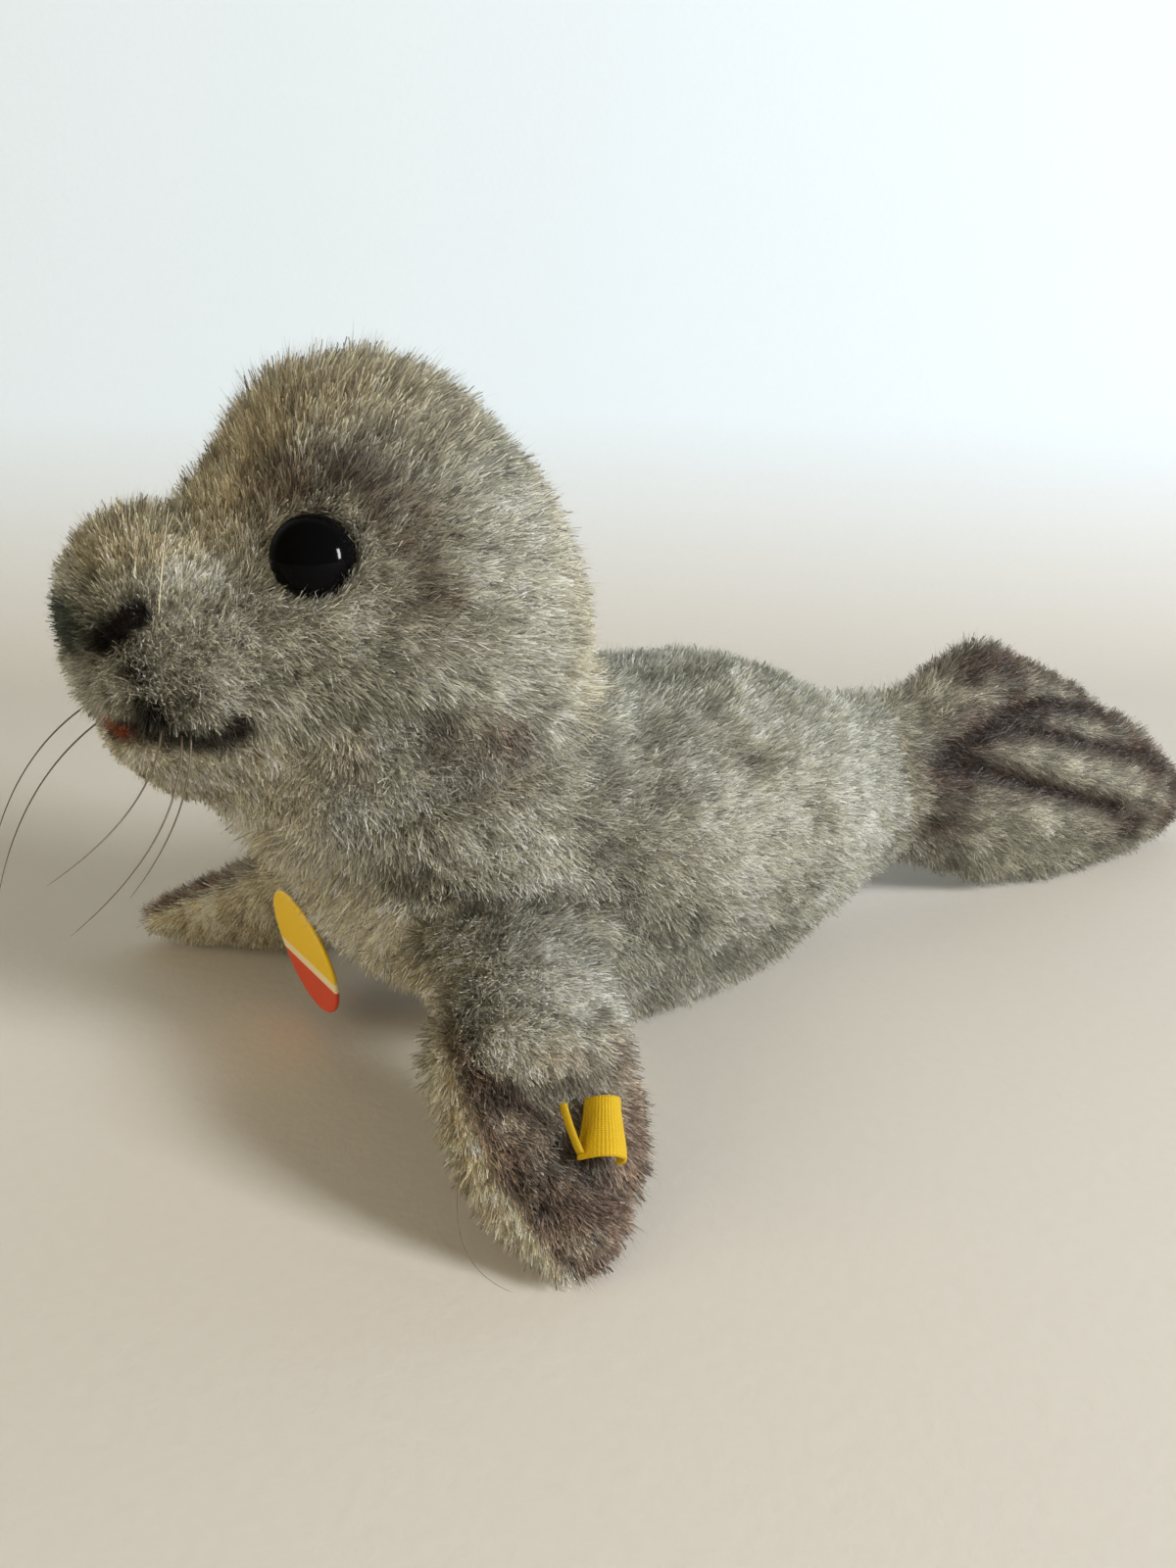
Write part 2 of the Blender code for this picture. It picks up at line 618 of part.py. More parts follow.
def main():
    clear_scene()
    torso = make_torso()
    head = make_head()
    torso_guide = grown_copy(torso, "torso_guide", SEAM_GAP)
    left_flipper = make_flipper(
        LEFT_FLIPPER_SLICES, LEFT_FLIPPER_TIP, FLIPPER_VALLEY, torso_guide, "front_flipper_left"
    )
    right_flipper = make_flipper(
        RIGHT_FLIPPER_SLICES, RIGHT_FLIPPER_TIP, None, torso_guide, "front_flipper_right"
    )
    fin = make_fin()
    head_surface = surface_of(head.data)
    pieces = [torso, head, left_flipper, right_flipper, fin]
    pieces.append(make_eye(1, head, head_surface, "eye_left"))
    pieces.append(make_eye(-1, head, head_surface, "eye_right"))
    for side, name, whiskers in ((1, "left", WHISKERS_LEFT), (-1, "right", WHISKERS_RIGHT)):
        for number, (root_at, tip, bow) in enumerate(whiskers, start=1):
            label = f"whisker_{name}_{number}"
            pieces.append(make_whisker(side, head_surface, root_at, tip, bow, label))
    pieces.append(make_tag(torso.data, right_flipper.data))
    pieces.append(make_ribbon(left_flipper.data))
    stand_at_origin(pieces)


main()
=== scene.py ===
import math

import bmesh
import bpy
import numpy as np
from bpy.props import FloatProperty, FloatVectorProperty, IntProperty, PointerProperty
from mathutils import Matrix, Vector
from mathutils.bvhtree import BVHTree


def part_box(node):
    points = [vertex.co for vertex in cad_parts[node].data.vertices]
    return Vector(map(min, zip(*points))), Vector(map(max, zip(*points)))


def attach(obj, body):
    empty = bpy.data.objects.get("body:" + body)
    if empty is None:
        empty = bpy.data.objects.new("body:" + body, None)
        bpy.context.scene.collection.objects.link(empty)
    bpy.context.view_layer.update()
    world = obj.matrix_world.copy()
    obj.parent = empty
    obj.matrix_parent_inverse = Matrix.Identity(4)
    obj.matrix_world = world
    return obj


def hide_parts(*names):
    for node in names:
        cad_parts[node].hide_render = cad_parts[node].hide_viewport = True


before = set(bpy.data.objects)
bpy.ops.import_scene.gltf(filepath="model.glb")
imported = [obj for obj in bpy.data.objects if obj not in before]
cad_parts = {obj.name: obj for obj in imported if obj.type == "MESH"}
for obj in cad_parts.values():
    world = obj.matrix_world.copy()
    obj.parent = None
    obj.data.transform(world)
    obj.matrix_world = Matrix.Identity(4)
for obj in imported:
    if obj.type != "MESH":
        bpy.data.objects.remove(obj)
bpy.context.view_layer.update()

bl_info = {
    "name": "Plush seal dressing",
    "version": (1, 0, 0),
    "blender": (4, 5, 0),
    "location": "View3D > Sidebar > Seal",
    "description": "Stuffed skins, pile, eyes, whiskers and labels of a lying plush seal",
    "category": "Object",
}

MM = 0.001
TORSO_LOW, TORSO_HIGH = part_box("torso")

# Plan millimetres: x to the seal's left, y to its tail and z up. The throat's foremost point is y = -9.
THROAT_Y = -9.0
PLAN_ORIGIN = np.array((
    (TORSO_LOW.x + TORSO_HIGH.x) / 2.0,
    TORSO_LOW.y - THROAT_Y * MM,
    0.0,
))

PLUSH_NODES = ("torso", "head", "front_flipper_left", "front_flipper_right", "tail_fin")
PLUSH_SLOTS = {
    "torso": "torso_plush",
    "head": "head_plush",
    "front_flipper_left": "flipper_plush",
    "front_flipper_right": "flipper_plush",
    "tail_fin": "fin_plush",
}

NOSE = np.array((0.0, -31.0, 80.0))
MOUTH = (
    (0.0, -27.7, 67.1), (6.3, -27.1, 67.5), (10.8, -25.6, 68.4), (13.4, -22.7, 67.9),
    (14.3, -20.8, 67.1), (15.8, -16.9, 66.1), (17.1, -13.9, 66.9), (18.0, -12.6, 68.2),
)
NOSTRIL = ((9.9, -27.5, 80.3), (11.9, -26.0, 82.0), (13.4, -23.4, 84.3))
CHEEK_LINE = ((18.3, -6.9, 64.7), (21.4, -4.2, 67.2), (23.4, -0.8, 69.5), (25.7, 6.3, 70.0), (26.3, 11.6, 68.7))
SHOULDER_LINE = ((21.0, 9.1, 40.4), (24.3, 14.9, 40.5), (28.5, 29.6, 36.7), (29.6, 37.3, 34.1), (29.5, 44.3, 27.4))
BROW_LINE = (
    (14.4, -5.1, 99.8), (18.5, 0.9, 102.0), (21.0, 5.0, 101.0), (23.5, 8.0, 98.0),
    (25.8, 10.0, 93.8), (27.5, 11.1, 88.9), (28.4, 11.9, 85.2),
)
FIN_TUCKS = (
    ((150.8, 42.2), (166.9, 41.9), (182.1, 38.2), (194.0, 35.0)),
    ((132.6, 35.7), (143.2, 39.0), (154.2, 39.2), (169.6, 34.5), (185.8, 29.3), (205.7, 23.1)),
    ((132.5, 35.1), (142.0, 32.2), (160.1, 25.4), (177.2, 19.3), (188.0, 15.0)),
)
FIN_FOLD = ((140.0, 52.0), (148.2, 53.1), (162.4, 52.5), (176.7, 47.0), (190.0, 39.0))
HAND_RIDGE = (
    (30.0, 7.9, 35.0), (40.0, 6.0, 33.0), (45.0, 4.2, 31.2), (48.5, 5.2, 28.6), (52.0, 6.5, 26.0),
    (54.0, 10.0, 22.5), (56.9, 13.1, 18.1), (58.7, 15.5, 13.4), (60.2, 21.0, 8.2),
)
HAND_BACK = ((49.9, 27.5, 24.0), (51.2, 29.4, 17.4), (58.3, 24.6, 11.4), (62.2, 19.8, 5.6))
HAND_EDGE = (
    (30.0, 7.3, 32.5), (40.0, 3.5, 30.0), (47.0, 1.3, 27.2), (51.5, 0.6, 22.4),
    (55.8, 1.5, 16.4), (60.5, 4.7, 9.7), (63.8, 7.5, 5.0),
)
HAND_FOLD = ((52.3, 6.0, 25.0), (54.2, 11.5, 23.0), (54.3, 18.5, 22.5), (53.5, 26.0, 20.5))
EYE_FORWARD = math.radians(24.0)
EYE_UP = math.radians(12.0)
WHISKERS = {
    "whisker_left_1": (1, (-23.0, 68.5), (27.0, -40.0, 56.0), (3.5, 5.0, -1.0)),
    "whisker_left_2": (1, (-20.5, 67.5), (23.0, -38.0, 47.0), (4.0, 6.0, -1.0)),
    "whisker_left_3": (1, (-19.5, 67.0), (20.0, -30.0, 49.0), (2.5, 3.5, 0.0)),
    "whisker_right_1": (-1, (-24.5, 65.5), (-21.0, -43.5, 33.0), (-3.6, -4.2, 6.0)),
    "whisker_right_2": (-1, (-23.5, 67.5), (-23.0, -43.0, 40.0), (-3.6, -4.2, 6.0)),
}
NECK_FOLD = ((31.0, 24.0, 34.0), (32.0, 32.0, 40.0), (30.0, 42.0, 50.0), (24.0, 52.0, 60.0))
STOP_LINE = ((0.0, -15.0, 96.0), (8.0, -14.5, 95.0), (14.0, -12.0, 90.0))


def tone(red, green, blue):
    """Linear colour of a screen colour from 0 to 255: the standard screen curve, undone."""
    screen = np.array((red, green, blue)) / 255.0
    return tuple(np.where(screen <= 0.04045, screen / 12.92, ((screen + 0.055) / 1.055) ** 2.4))


def size(name, description, default, low=0.0, high=1000.0):
    """A length in millimetres."""
    return FloatProperty(name=name, description=description, default=default, min=low, max=high)


def colour(name, description, red, green, blue):
    """A colour, given as it looks on a screen."""
    return FloatVectorProperty(
        name=name, description=description, default=tone(red, green, blue),
        subtype="COLOR", size=3, min=0.0, max=1.0,
    )


class SealSkin(bpy.types.PropertyGroup):
    voxel: size("Cell", "Cell of the remeshed skin in millimetres", 2.4, 1.0, 6.0)
    torso_inset: size("Torso pile room", "Depth of the torso's skin below its outline, in mm", 2.6)
    head_inset: size("Head pile room", "Depth of the head's skin below its outline, in mm", 2.9)
    limb_inset: size("Limb pile room", "Depth of a flipper's or fin's skin below its outline, in mm", 2.6)
    swell: size("Swell", "Most that the filling may push a point, in mm", 1.4, 0.0, 5.0)
    pressure: FloatProperty(
        name="Pressure", description="Pressure of the filling", default=4.0, min=0.0, max=20.0
    )
    fill: FloatProperty(
        name="Fill", description="How tightly the seal is stuffed", default=0.8, min=0.0, max=1.0,
        subtype="FACTOR",
    )


class SealFur(bpy.types.PropertyGroup):
    torso_hairs: IntProperty(name="Torso hairs", description="Hairs on the torso", default=304000, min=100)
    head_hairs: IntProperty(name="Head hairs", description="Hairs on the head", default=284000, min=100)
    flipper_hairs: IntProperty(name="Flipper hairs", description="Hairs on one flipper", default=68000, min=100)
    fin_hairs: IntProperty(name="Fin hairs", description="Hairs on the tail fin", default=112000, min=100)
    torso_pile: size("Torso pile", "Hair length on the torso in mm", 4.0, 1.0, 20.0)
    head_pile: size("Head pile", "Hair length on the head in mm", 5.2, 1.0, 20.0)
    limb_pile: size("Limb pile", "Hair length on the flippers and fin in mm", 4.0, 1.0, 20.0)
    width: size("Hair width", "Width of a hair, in mm", 0.17, 0.05, 1.0)
    silver: colour("Silver", "Tips of the grey pile", 244, 243, 224)
    silver_root: colour("Silver root", "Roots of the grey pile", 198, 190, 168)
    cream: colour("Cream", "Tips of the cream pile", 252, 242, 214)
    cream_root: colour("Cream root", "Roots of the cream pile", 232, 210, 170)
    olive: colour("Olive cream", "Tips on the brow and crown", 228, 216, 186)
    # The brown and dark brown also serve as painted shade in the left flipper's folds and hand, and in and round the
    # fin's tucks.
    brown: colour("Brown", "Airbrushed brown pile", 150, 128, 112)
    dark: colour("Dark brown", "Darkest airbrushed pile", 66, 50, 42)
    nose: colour("Nose", "Airbrushed green-black of the nose", 50, 64, 56)
    mouth: colour("Mouth tint", "Orange-red tint at the front of the mouth", 206, 100, 56)


class SealTrim(bpy.types.PropertyGroup):
    eye_radius: size("Eye radius", "Radius of an eye's dome in mm", 5.5, 1.0, 20.0)
    eye_dome: size("Eye dome", "Height of an eye's dome in mm", 4.2, 0.5, 20.0)
    whisker_radius: size("Whisker radius", "Radius of a whisker at its root in mm", 0.15, 0.02, 1.0)
    tag_radius: size("Tag radius", "Radius of the round tag in mm", 11.8, 2.0, 40.0)
    tag_thickness: size("Tag thickness", "Thickness of the round tag in mm", 0.8, 0.1, 3.0)
    ribbon_width: size("Ribbon width", "Width of the ribbon in mm", 8.0, 1.0, 30.0)
    ribbon_span: size("Ribbon span", "Opening of the ribbon's arch in mm", 5.0, 1.0, 30.0)
    ribbon_rise: size("Ribbon rise", "Height of the ribbon's arch in mm", 4.4, 1.0, 30.0)
    ribbon_thickness: size("Ribbon thickness", "Thickness of the ribbon in mm", 0.5, 0.1, 2.0)
    eye: colour("Eye", "Colour of the eyes", 5, 5, 6)
    eye_rim: colour("Eye rim", "Edge of the eyes", 30, 20, 15)
    whisker: colour("Whisker", "Colour of the whiskers", 92, 80, 66)
    tag_yellow: colour("Tag yellow", "Yellow of the tag", 240, 198, 30)
    tag_red: colour("Tag red", "Red of the tag", 214, 66, 30)
    tag_cream: colour("Tag cream", "Cream of the tag", 240, 224, 180)
    ribbon: colour("Ribbon", "Colour of the ribbon", 240, 196, 18)


class SealStage(bpy.types.PropertyGroup):
    floor: colour("Floor", "Colour of the floor", 214, 208, 200)
    wall: colour("Backdrop", "Colour of the backdrop", 204, 217, 230)
    wall_glow: FloatProperty(
        name="Backdrop glow", description="Brightness that the camera sees on the backdrop", default=0.22, min=0.0
    )
    lamp_power: FloatProperty(
        name="Lamp power", description="Power of the large lamp", default=10.1, min=0.0, unit="POWER"
    )
    sky_level: FloatProperty(name="Sky level", description="Level of the sky's light", default=0.22, min=0.0)


def to_plan(points):
    """Plan millimetres of points in frame metres."""
    return (points - PLAN_ORIGIN) / MM


def to_frame(points):
    """Frame metres of points in plan millimetres."""
    return np.asarray(points, dtype=float) * MM + PLAN_ORIGIN


def unit(vectors):
    """Vectors of length one."""
    return vectors / np.maximum(np.linalg.norm(vectors, axis=-1, keepdims=True), 1e-12)


def ease(low, high, value):
    """Rises smoothly from 0 at low to 1 at high: three squares less two cubes of the share."""
    share = np.clip((value - low) / (high - low), 0.0, 1.0)
    return share * share * (3.0 - 2.0 * share)


def blend(first, second, share):
    """Row by row mix of two arrays of colours or vectors."""
    return first + (second - first) * np.asarray(share)[..., None]


def scatter(cells, seed):
    """Seeded random numbers from 0 to 1 for rows of whole numbers, by mixing their bits."""
    cells = np.asarray(cells, dtype=np.int64)
    mixed = cells[..., 0] * 73856093 ^ cells[..., 1] * 19349663 ^ cells[..., 2] * 83492791
    mixed = (mixed ^ seed * 2654435761) & 0xFFFFFFFF
    mixed = (mixed ^ (mixed >> 15)) * 2246822519 & 0xFFFFFFFF
    mixed = (mixed ^ (mixed >> 13)) * 3266489917 & 0xFFFFFFFF
    return ((mixed ^ (mixed >> 16)) & 0xFFFFFF) / float(0xFFFFFF)


def cloudy(points, scale, seed):
    """Smooth noise from 0 to 1: random corner values of a grid, eased between its corners."""
    spot = points / scale
    cell = np.floor(spot).astype(np.int64)
    share = spot - cell
    share = share * share * (3.0 - 2.0 * share)
    total = np.zeros(len(points))
    for corner in range(8):
        step = np.array((corner & 1, corner >> 1 & 1, corner >> 2 & 1))
        weight = np.prod(np.where(step == 1, share, 1.0 - share), axis=1)
        total += weight * scatter(cell + step, seed)
    return total


def tufts(points, scale, seed):
    """Nearest tuft centre of each point and that tuft's random numbers, one centre to a grid cell."""
    spot = points / scale
    cell = np.floor(spot).astype(np.int64)
    best = np.full(len(points), np.inf)
    centre = np.zeros_like(points)
    owner = np.zeros_like(cell)
    for step in np.ndindex(3, 3, 3):
        near = cell + np.array(step) - 1
        place = near + np.stack([scatter(near, seed + axis) for axis in range(3)], axis=1)
        gap = ((spot - place) ** 2).sum(axis=1)
        closer = gap < best
        best = np.where(closer, gap, best)
        centre[closer] = place[closer]
        owner[closer] = near[closer]
    chance = np.stack([scatter(owner, seed + 10 + number) for number in range(3)], axis=1)
    return centre * scale, chance


def spot(points, place, reach):
    """Airbrushed spot: a bell of the distance from a place, measured in its reach each way."""
    return np.exp(-(((points - np.array(place)) / np.array(reach)) ** 2).sum(axis=1))


def off_line(points, line):
    """Distance of points from a line of straight stretches."""
    nearest = np.full(len(points), np.inf)
    for start, end in zip(line[:-1], line[1:]):
        start = np.array(start)
        run = np.array(end) - start
        share = np.clip((points - start) @ run / (run @ run), 0.0, 1.0)
        nearest = np.minimum(nearest, np.linalg.norm(points - start - share[:, None] * run, axis=1))
    return nearest


def stroke(points, line, width):
    """Airbrushed line: a bell of the distance from it."""
    return np.exp(-((off_line(points, line) / width) ** 2))


def folded(points):
    """Points with their left and right sides laid on each other."""
    return np.column_stack((np.abs(points[:, 0]), points[:, 1:]))


def nearest_to(points, cloud, facing=None, cloud_facing=None):
    """Distance from each point to the nearest of a cloud, by whole blocks of differences.

    Where facings are given, only points of the cloud that face the other way count.
    """
    found = []
    for start in range(0, len(points), 1500):
        block = points[start:start + 1500]
        gap = (block ** 2).sum(axis=1)[:, None] + (cloud ** 2).sum(axis=1)[None, :] - 2.0 * block @ cloud.T
        if facing is not None:
            gap = gap + np.where(facing[start:start + 1500] @ cloud_facing.T > -0.3, 1e6, 0.0)
        found.append(gap.min(axis=1))
    return np.sqrt(np.maximum(np.concatenate(found), 0.0))


def mesh_arrays(mesh):
    """Points, normals and triangles of a mesh."""
    count = len(mesh.vertices)
    points = np.empty(count * 3)
    mesh.vertices.foreach_get("co", points)
    normals = np.empty(count * 3)
    mesh.vertices.foreach_get("normal", normals)
    mesh.calc_loop_triangles()
    triangles = np.empty(len(mesh.loop_triangles) * 3, dtype=np.int32)
    mesh.loop_triangles.foreach_get("vertices", triangles)
    return points.reshape(-1, 3), normals.reshape(-1, 3), triangles.reshape(-1, 3)


def mesh_of(name, points, faces):
    """Mesh from an array of points and an array of faces with equally many corners."""
    mesh = bpy.data.meshes.new(name)
    mesh.vertices.add(len(points))
    mesh.vertices.foreach_set("co", np.asarray(points, dtype=np.float32).ravel())
    mesh.loops.add(faces.size)
    mesh.loops.foreach_set("vertex_index", faces.astype(np.int32).ravel())
    mesh.polygons.add(len(faces))
    mesh.polygons.foreach_set("loop_start", np.arange(0, faces.size, faces.shape[1], dtype=np.int32))
    mesh.update(calc_edges=True)
    return mesh


def add_piece(name, mesh, material, slot, *nodes):
    """Object for a finished mesh that rides with the seal and stands for CAD nodes."""
    piece = bpy.data.objects.new(name, mesh)
    bpy.context.scene.collection.objects.link(piece)
    if material is not None:
        mesh.materials.clear()
        mesh.materials.append(material)
    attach(piece, "root")
    if nodes:
        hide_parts(*nodes)
    return piece


def set_colour(mesh, name, values):
    """Colour attribute on a mesh's points."""
    layer = mesh.color_attributes.new(name, "FLOAT_COLOR", "POINT")
    full = np.column_stack((np.clip(values, 0.0, 1.0), np.ones(len(values))))
    layer.data.foreach_set("color", full.astype(np.float32).ravel())


def set_map(mesh, corners):
    """UV map, one place for each corner of each face."""
    layer = mesh.uv_layers.new(name="OFBake")
    layer.data.foreach_set("uv", np.asarray(corners, dtype=np.float32).ravel())


def shade_smooth(mesh):
    """Smooth shading on every face."""
    mesh.polygons.foreach_set("use_smooth", np.ones(len(mesh.polygons), dtype=bool))


def tube_faces(rows, columns, wrap=True):
    """Four-cornered faces of a grid of points whose rows close on themselves if wrap is set."""
    across = columns if wrap else columns - 1
    row, column = np.meshgrid(np.arange(rows - 1), np.arange(across), indexing="ij")
    beside = (column + 1) % columns
    corners = (row * columns + column, row * columns + beside, (row + 1) * columns + beside, (row + 1) * columns + column)
    return np.stack(corners, axis=-1).reshape(-1, 4)


def new_material(name):
    """Material with its shader and a short way to add and join nodes."""
    material = bpy.data.materials.new(name)
    material.use_nodes = True
    tree = material.node_tree
    shader = tree.nodes["Principled BSDF"]

    def add(kind, **values):
        node = tree.nodes.new(kind)
        for key, value in values.items():
            if key in node.inputs:
                node.inputs[key].default_value = value
            else:
                setattr(node, key.lower(), value)
        return node

    return material, shader, add, tree.links.new


def place_nodes(add, join, scale):
    """Object coordinates, noise of a scale and its factor."""
    where = add("ShaderNodeTexCoord")
    noise = add("ShaderNodeTexNoise", Scale=scale, Detail=3.0, Roughness=0.6)
    join(where.outputs["Object"], noise.inputs["Vector"])
    return where, noise


def ranged(add, join, source, low, high):
    """A value from 0 to 1 carried over to a range."""
    node = add("ShaderNodeMapRange")
    node.inputs["To Min"].default_value = low
    node.inputs["To Max"].default_value = high
    join(source, node.inputs["Value"])
    return node.outputs["Result"]


def hair_material(name):
    """Pile: the painted tint with fine flecks, soft gloss and a little sheen.

    The light falls on a hair as it does on the pile that it lies in: its shading normal is kept
    on its points.
    """
    material, shader, add, join = new_material(name)
    tint = add("ShaderNodeAttribute")
    tint.attribute_name = "tint"
    lie = add("ShaderNodeAttribute")
    lie.attribute_name = "lie"
    _, flecks = place_nodes(add, join, 1400.0)
    level = ranged(add, join, flecks.outputs["Fac"], 0.78, 1.2)
    shaded = add("ShaderNodeVectorMath")
    shaded.operation = "SCALE"
    join(tint.outputs["Color"], shaded.inputs[0])
    join(level, shaded.inputs["Scale"])
    join(shaded.outputs["Vector"], shader.inputs["Base Color"])
    join(ranged(add, join, flecks.outputs["Fac"], 0.3, 0.5), shader.inputs["Roughness"])
    shader.inputs["Sheen Weight"].default_value = 0.15
    shader.inputs["Sheen Roughness"].default_value = 0.4
    bump = add("ShaderNodeBump", Strength=0.15, Distance=0.0001)
    join(flecks.outputs["Fac"], bump.inputs["Height"])
    join(lie.outputs["Vector"], bump.inputs["Normal"])
    join(bump.outputs["Normal"], shader.inputs["Normal"])
    through = add("ShaderNodeBsdfTranslucent")
    join(shaded.outputs["Vector"], through.inputs["Color"])
    both = add("ShaderNodeMixShader")
    both.inputs["Fac"].default_value = 0.48
    join(shader.outputs["BSDF"], both.inputs[1])
    join(through.outputs["BSDF"], both.inputs[2])
    join(both.outputs["Shader"], material.node_tree.nodes["Material Output"].inputs["Surface"])
    return material


def backing_material(name):
    """Knitted backing under the pile: the roots' tint with a woven bump and uneven gloss."""
    material, shader, add, join = new_material(name)
    tint = add("ShaderNodeAttribute")
    tint.attribute_name = "tint"
    where, patches = place_nodes(add, join, 700.0)
    level = ranged(add, join, patches.outputs["Fac"], 0.6, 1.15)
    shaded = add("ShaderNodeVectorMath")
    shaded.operation = "SCALE"
    join(tint.outputs["Color"], shaded.inputs[0])
    join(level, shaded.inputs["Scale"])
    join(shaded.outputs["Vector"], shader.inputs["Base Color"])
    join(ranged(add, join, patches.outputs["Fac"], 0.75, 0.95), shader.inputs["Roughness"])
    loops = add("ShaderNodeTexVoronoi", Scale=1300.0)
    join(where.outputs["Object"], loops.inputs["Vector"])
    bump = add("ShaderNodeBump", Strength=0.5, Distance=0.0004)
    join(loops.outputs["Distance"], bump.inputs["Height"])
    join(bump.outputs["Normal"], shader.inputs["Normal"])
    return material


def settled(piece):
    """Puts a piece's modifiers into its mesh."""
    seen = piece.evaluated_get(bpy.context.evaluated_depsgraph_get())
    mesh = bpy.data.meshes.new_from_object(seen)
    piece.modifiers.clear()
    piece.data = mesh
    return mesh


def relaxed(values, mesh, rounds):
    """Each round moves every vertex's value halfway to the mean of its neighbours."""
    edges = np.empty(len(mesh.edges) * 2, dtype=np.int32)
    mesh.edges.foreach_get("vertices", edges)
    first, second = edges.reshape(-1, 2).T
    ends = np.concatenate((first, second))
    others = np.concatenate((second, first))
    count = np.maximum(np.bincount(ends, minlength=len(values)), 1)
    for _ in range(rounds):
        mean = np.bincount(ends, weights=values[others], minlength=len(values)) / count
        values = 0.5 * values + 0.5 * mean
    return values


def cad_cloud(node):
    """Plan points of a CAD node: its corners, the middles of its edges and of its faces."""
    points, _, triangles = mesh_arrays(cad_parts[node].data)
    corners = points[triangles]
    middles = (corners + np.roll(corners, 1, axis=1)) / 2.0
    every = np.concatenate((points, middles.reshape(-1, 3), corners.mean(axis=1)))
    return to_plan(np.unique(np.round(every, 5), axis=0))


def eye_frames():
    """Centre and outward direction of each eye in plan millimetres.

    The direction comes from its two turns, and the centre lies a dome's height below the top.
    """
    frames = {}
    for side, node in ((1, "eye_left"), (-1, "eye_right")):
        level = math.cos(EYE_UP)
        look = np.array((side * math.cos(EYE_FORWARD) * level, -math.sin(EYE_FORWARD) * level, math.sin(EYE_UP)))
        points = to_plan(mesh_arrays(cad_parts[node].data)[0])
        top = points[np.argmax(points @ look)]
        frames[node] = (top - look * bpy.context.scene.seal_trim.eye_dome, look)
    return frames


def furrow_depth(node, points, normals):
    """How far a stitched line pulls the skin in, in mm: a bell of the distance from the line."""
    depth = np.zeros(len(points))
    if node == "torso":
        depth = 3.4 * (cloudy(points, 13.0, 61) - 0.5) * ease(4.0, 14.0, points[:, 2])
        depth = depth + 1.6 * stroke(folded(points), NECK_FOLD, 3.5)
        depth = depth + 1.8 * stroke(folded(points), SHOULDER_LINE, 2.6)
    if node == "head":
        depth = 1.0 * (cloudy(points, 10.0, 67) - 0.5)
        depth = np.maximum(depth, 2.2 * stroke(folded(points), MOUTH, 2.4))
        depth = np.maximum(depth, 2.2 * stroke(folded(points), CHEEK_LINE, 2.8))
        depth = np.maximum(depth, 2.2 * stroke(folded(points), STOP_LINE, 3.4))
    if node == "tail_fin":
        flat = np.column_stack((np.zeros(len(points)), points[:, 1:]))
        for tuck in FIN_TUCKS:
            line = [(0.0, y, z) for y, z in tuck]
            depth = np.maximum(depth, 1.8 * stroke(flat, line, 2.6) * np.abs(normals[:, 0]))
    if node == "front_flipper_left":
        depth = np.maximum(depth, 2.0 * stroke(points, HAND_RIDGE[4:], 2.8))
        depth = np.maximum(depth, 3.0 * stroke(points, HAND_FOLD, 2.6))
        depth = depth - 1.6 * spot(points, (47.5, 14.0, 27.0), (6.0, 8.0, 6.0))
    return depth


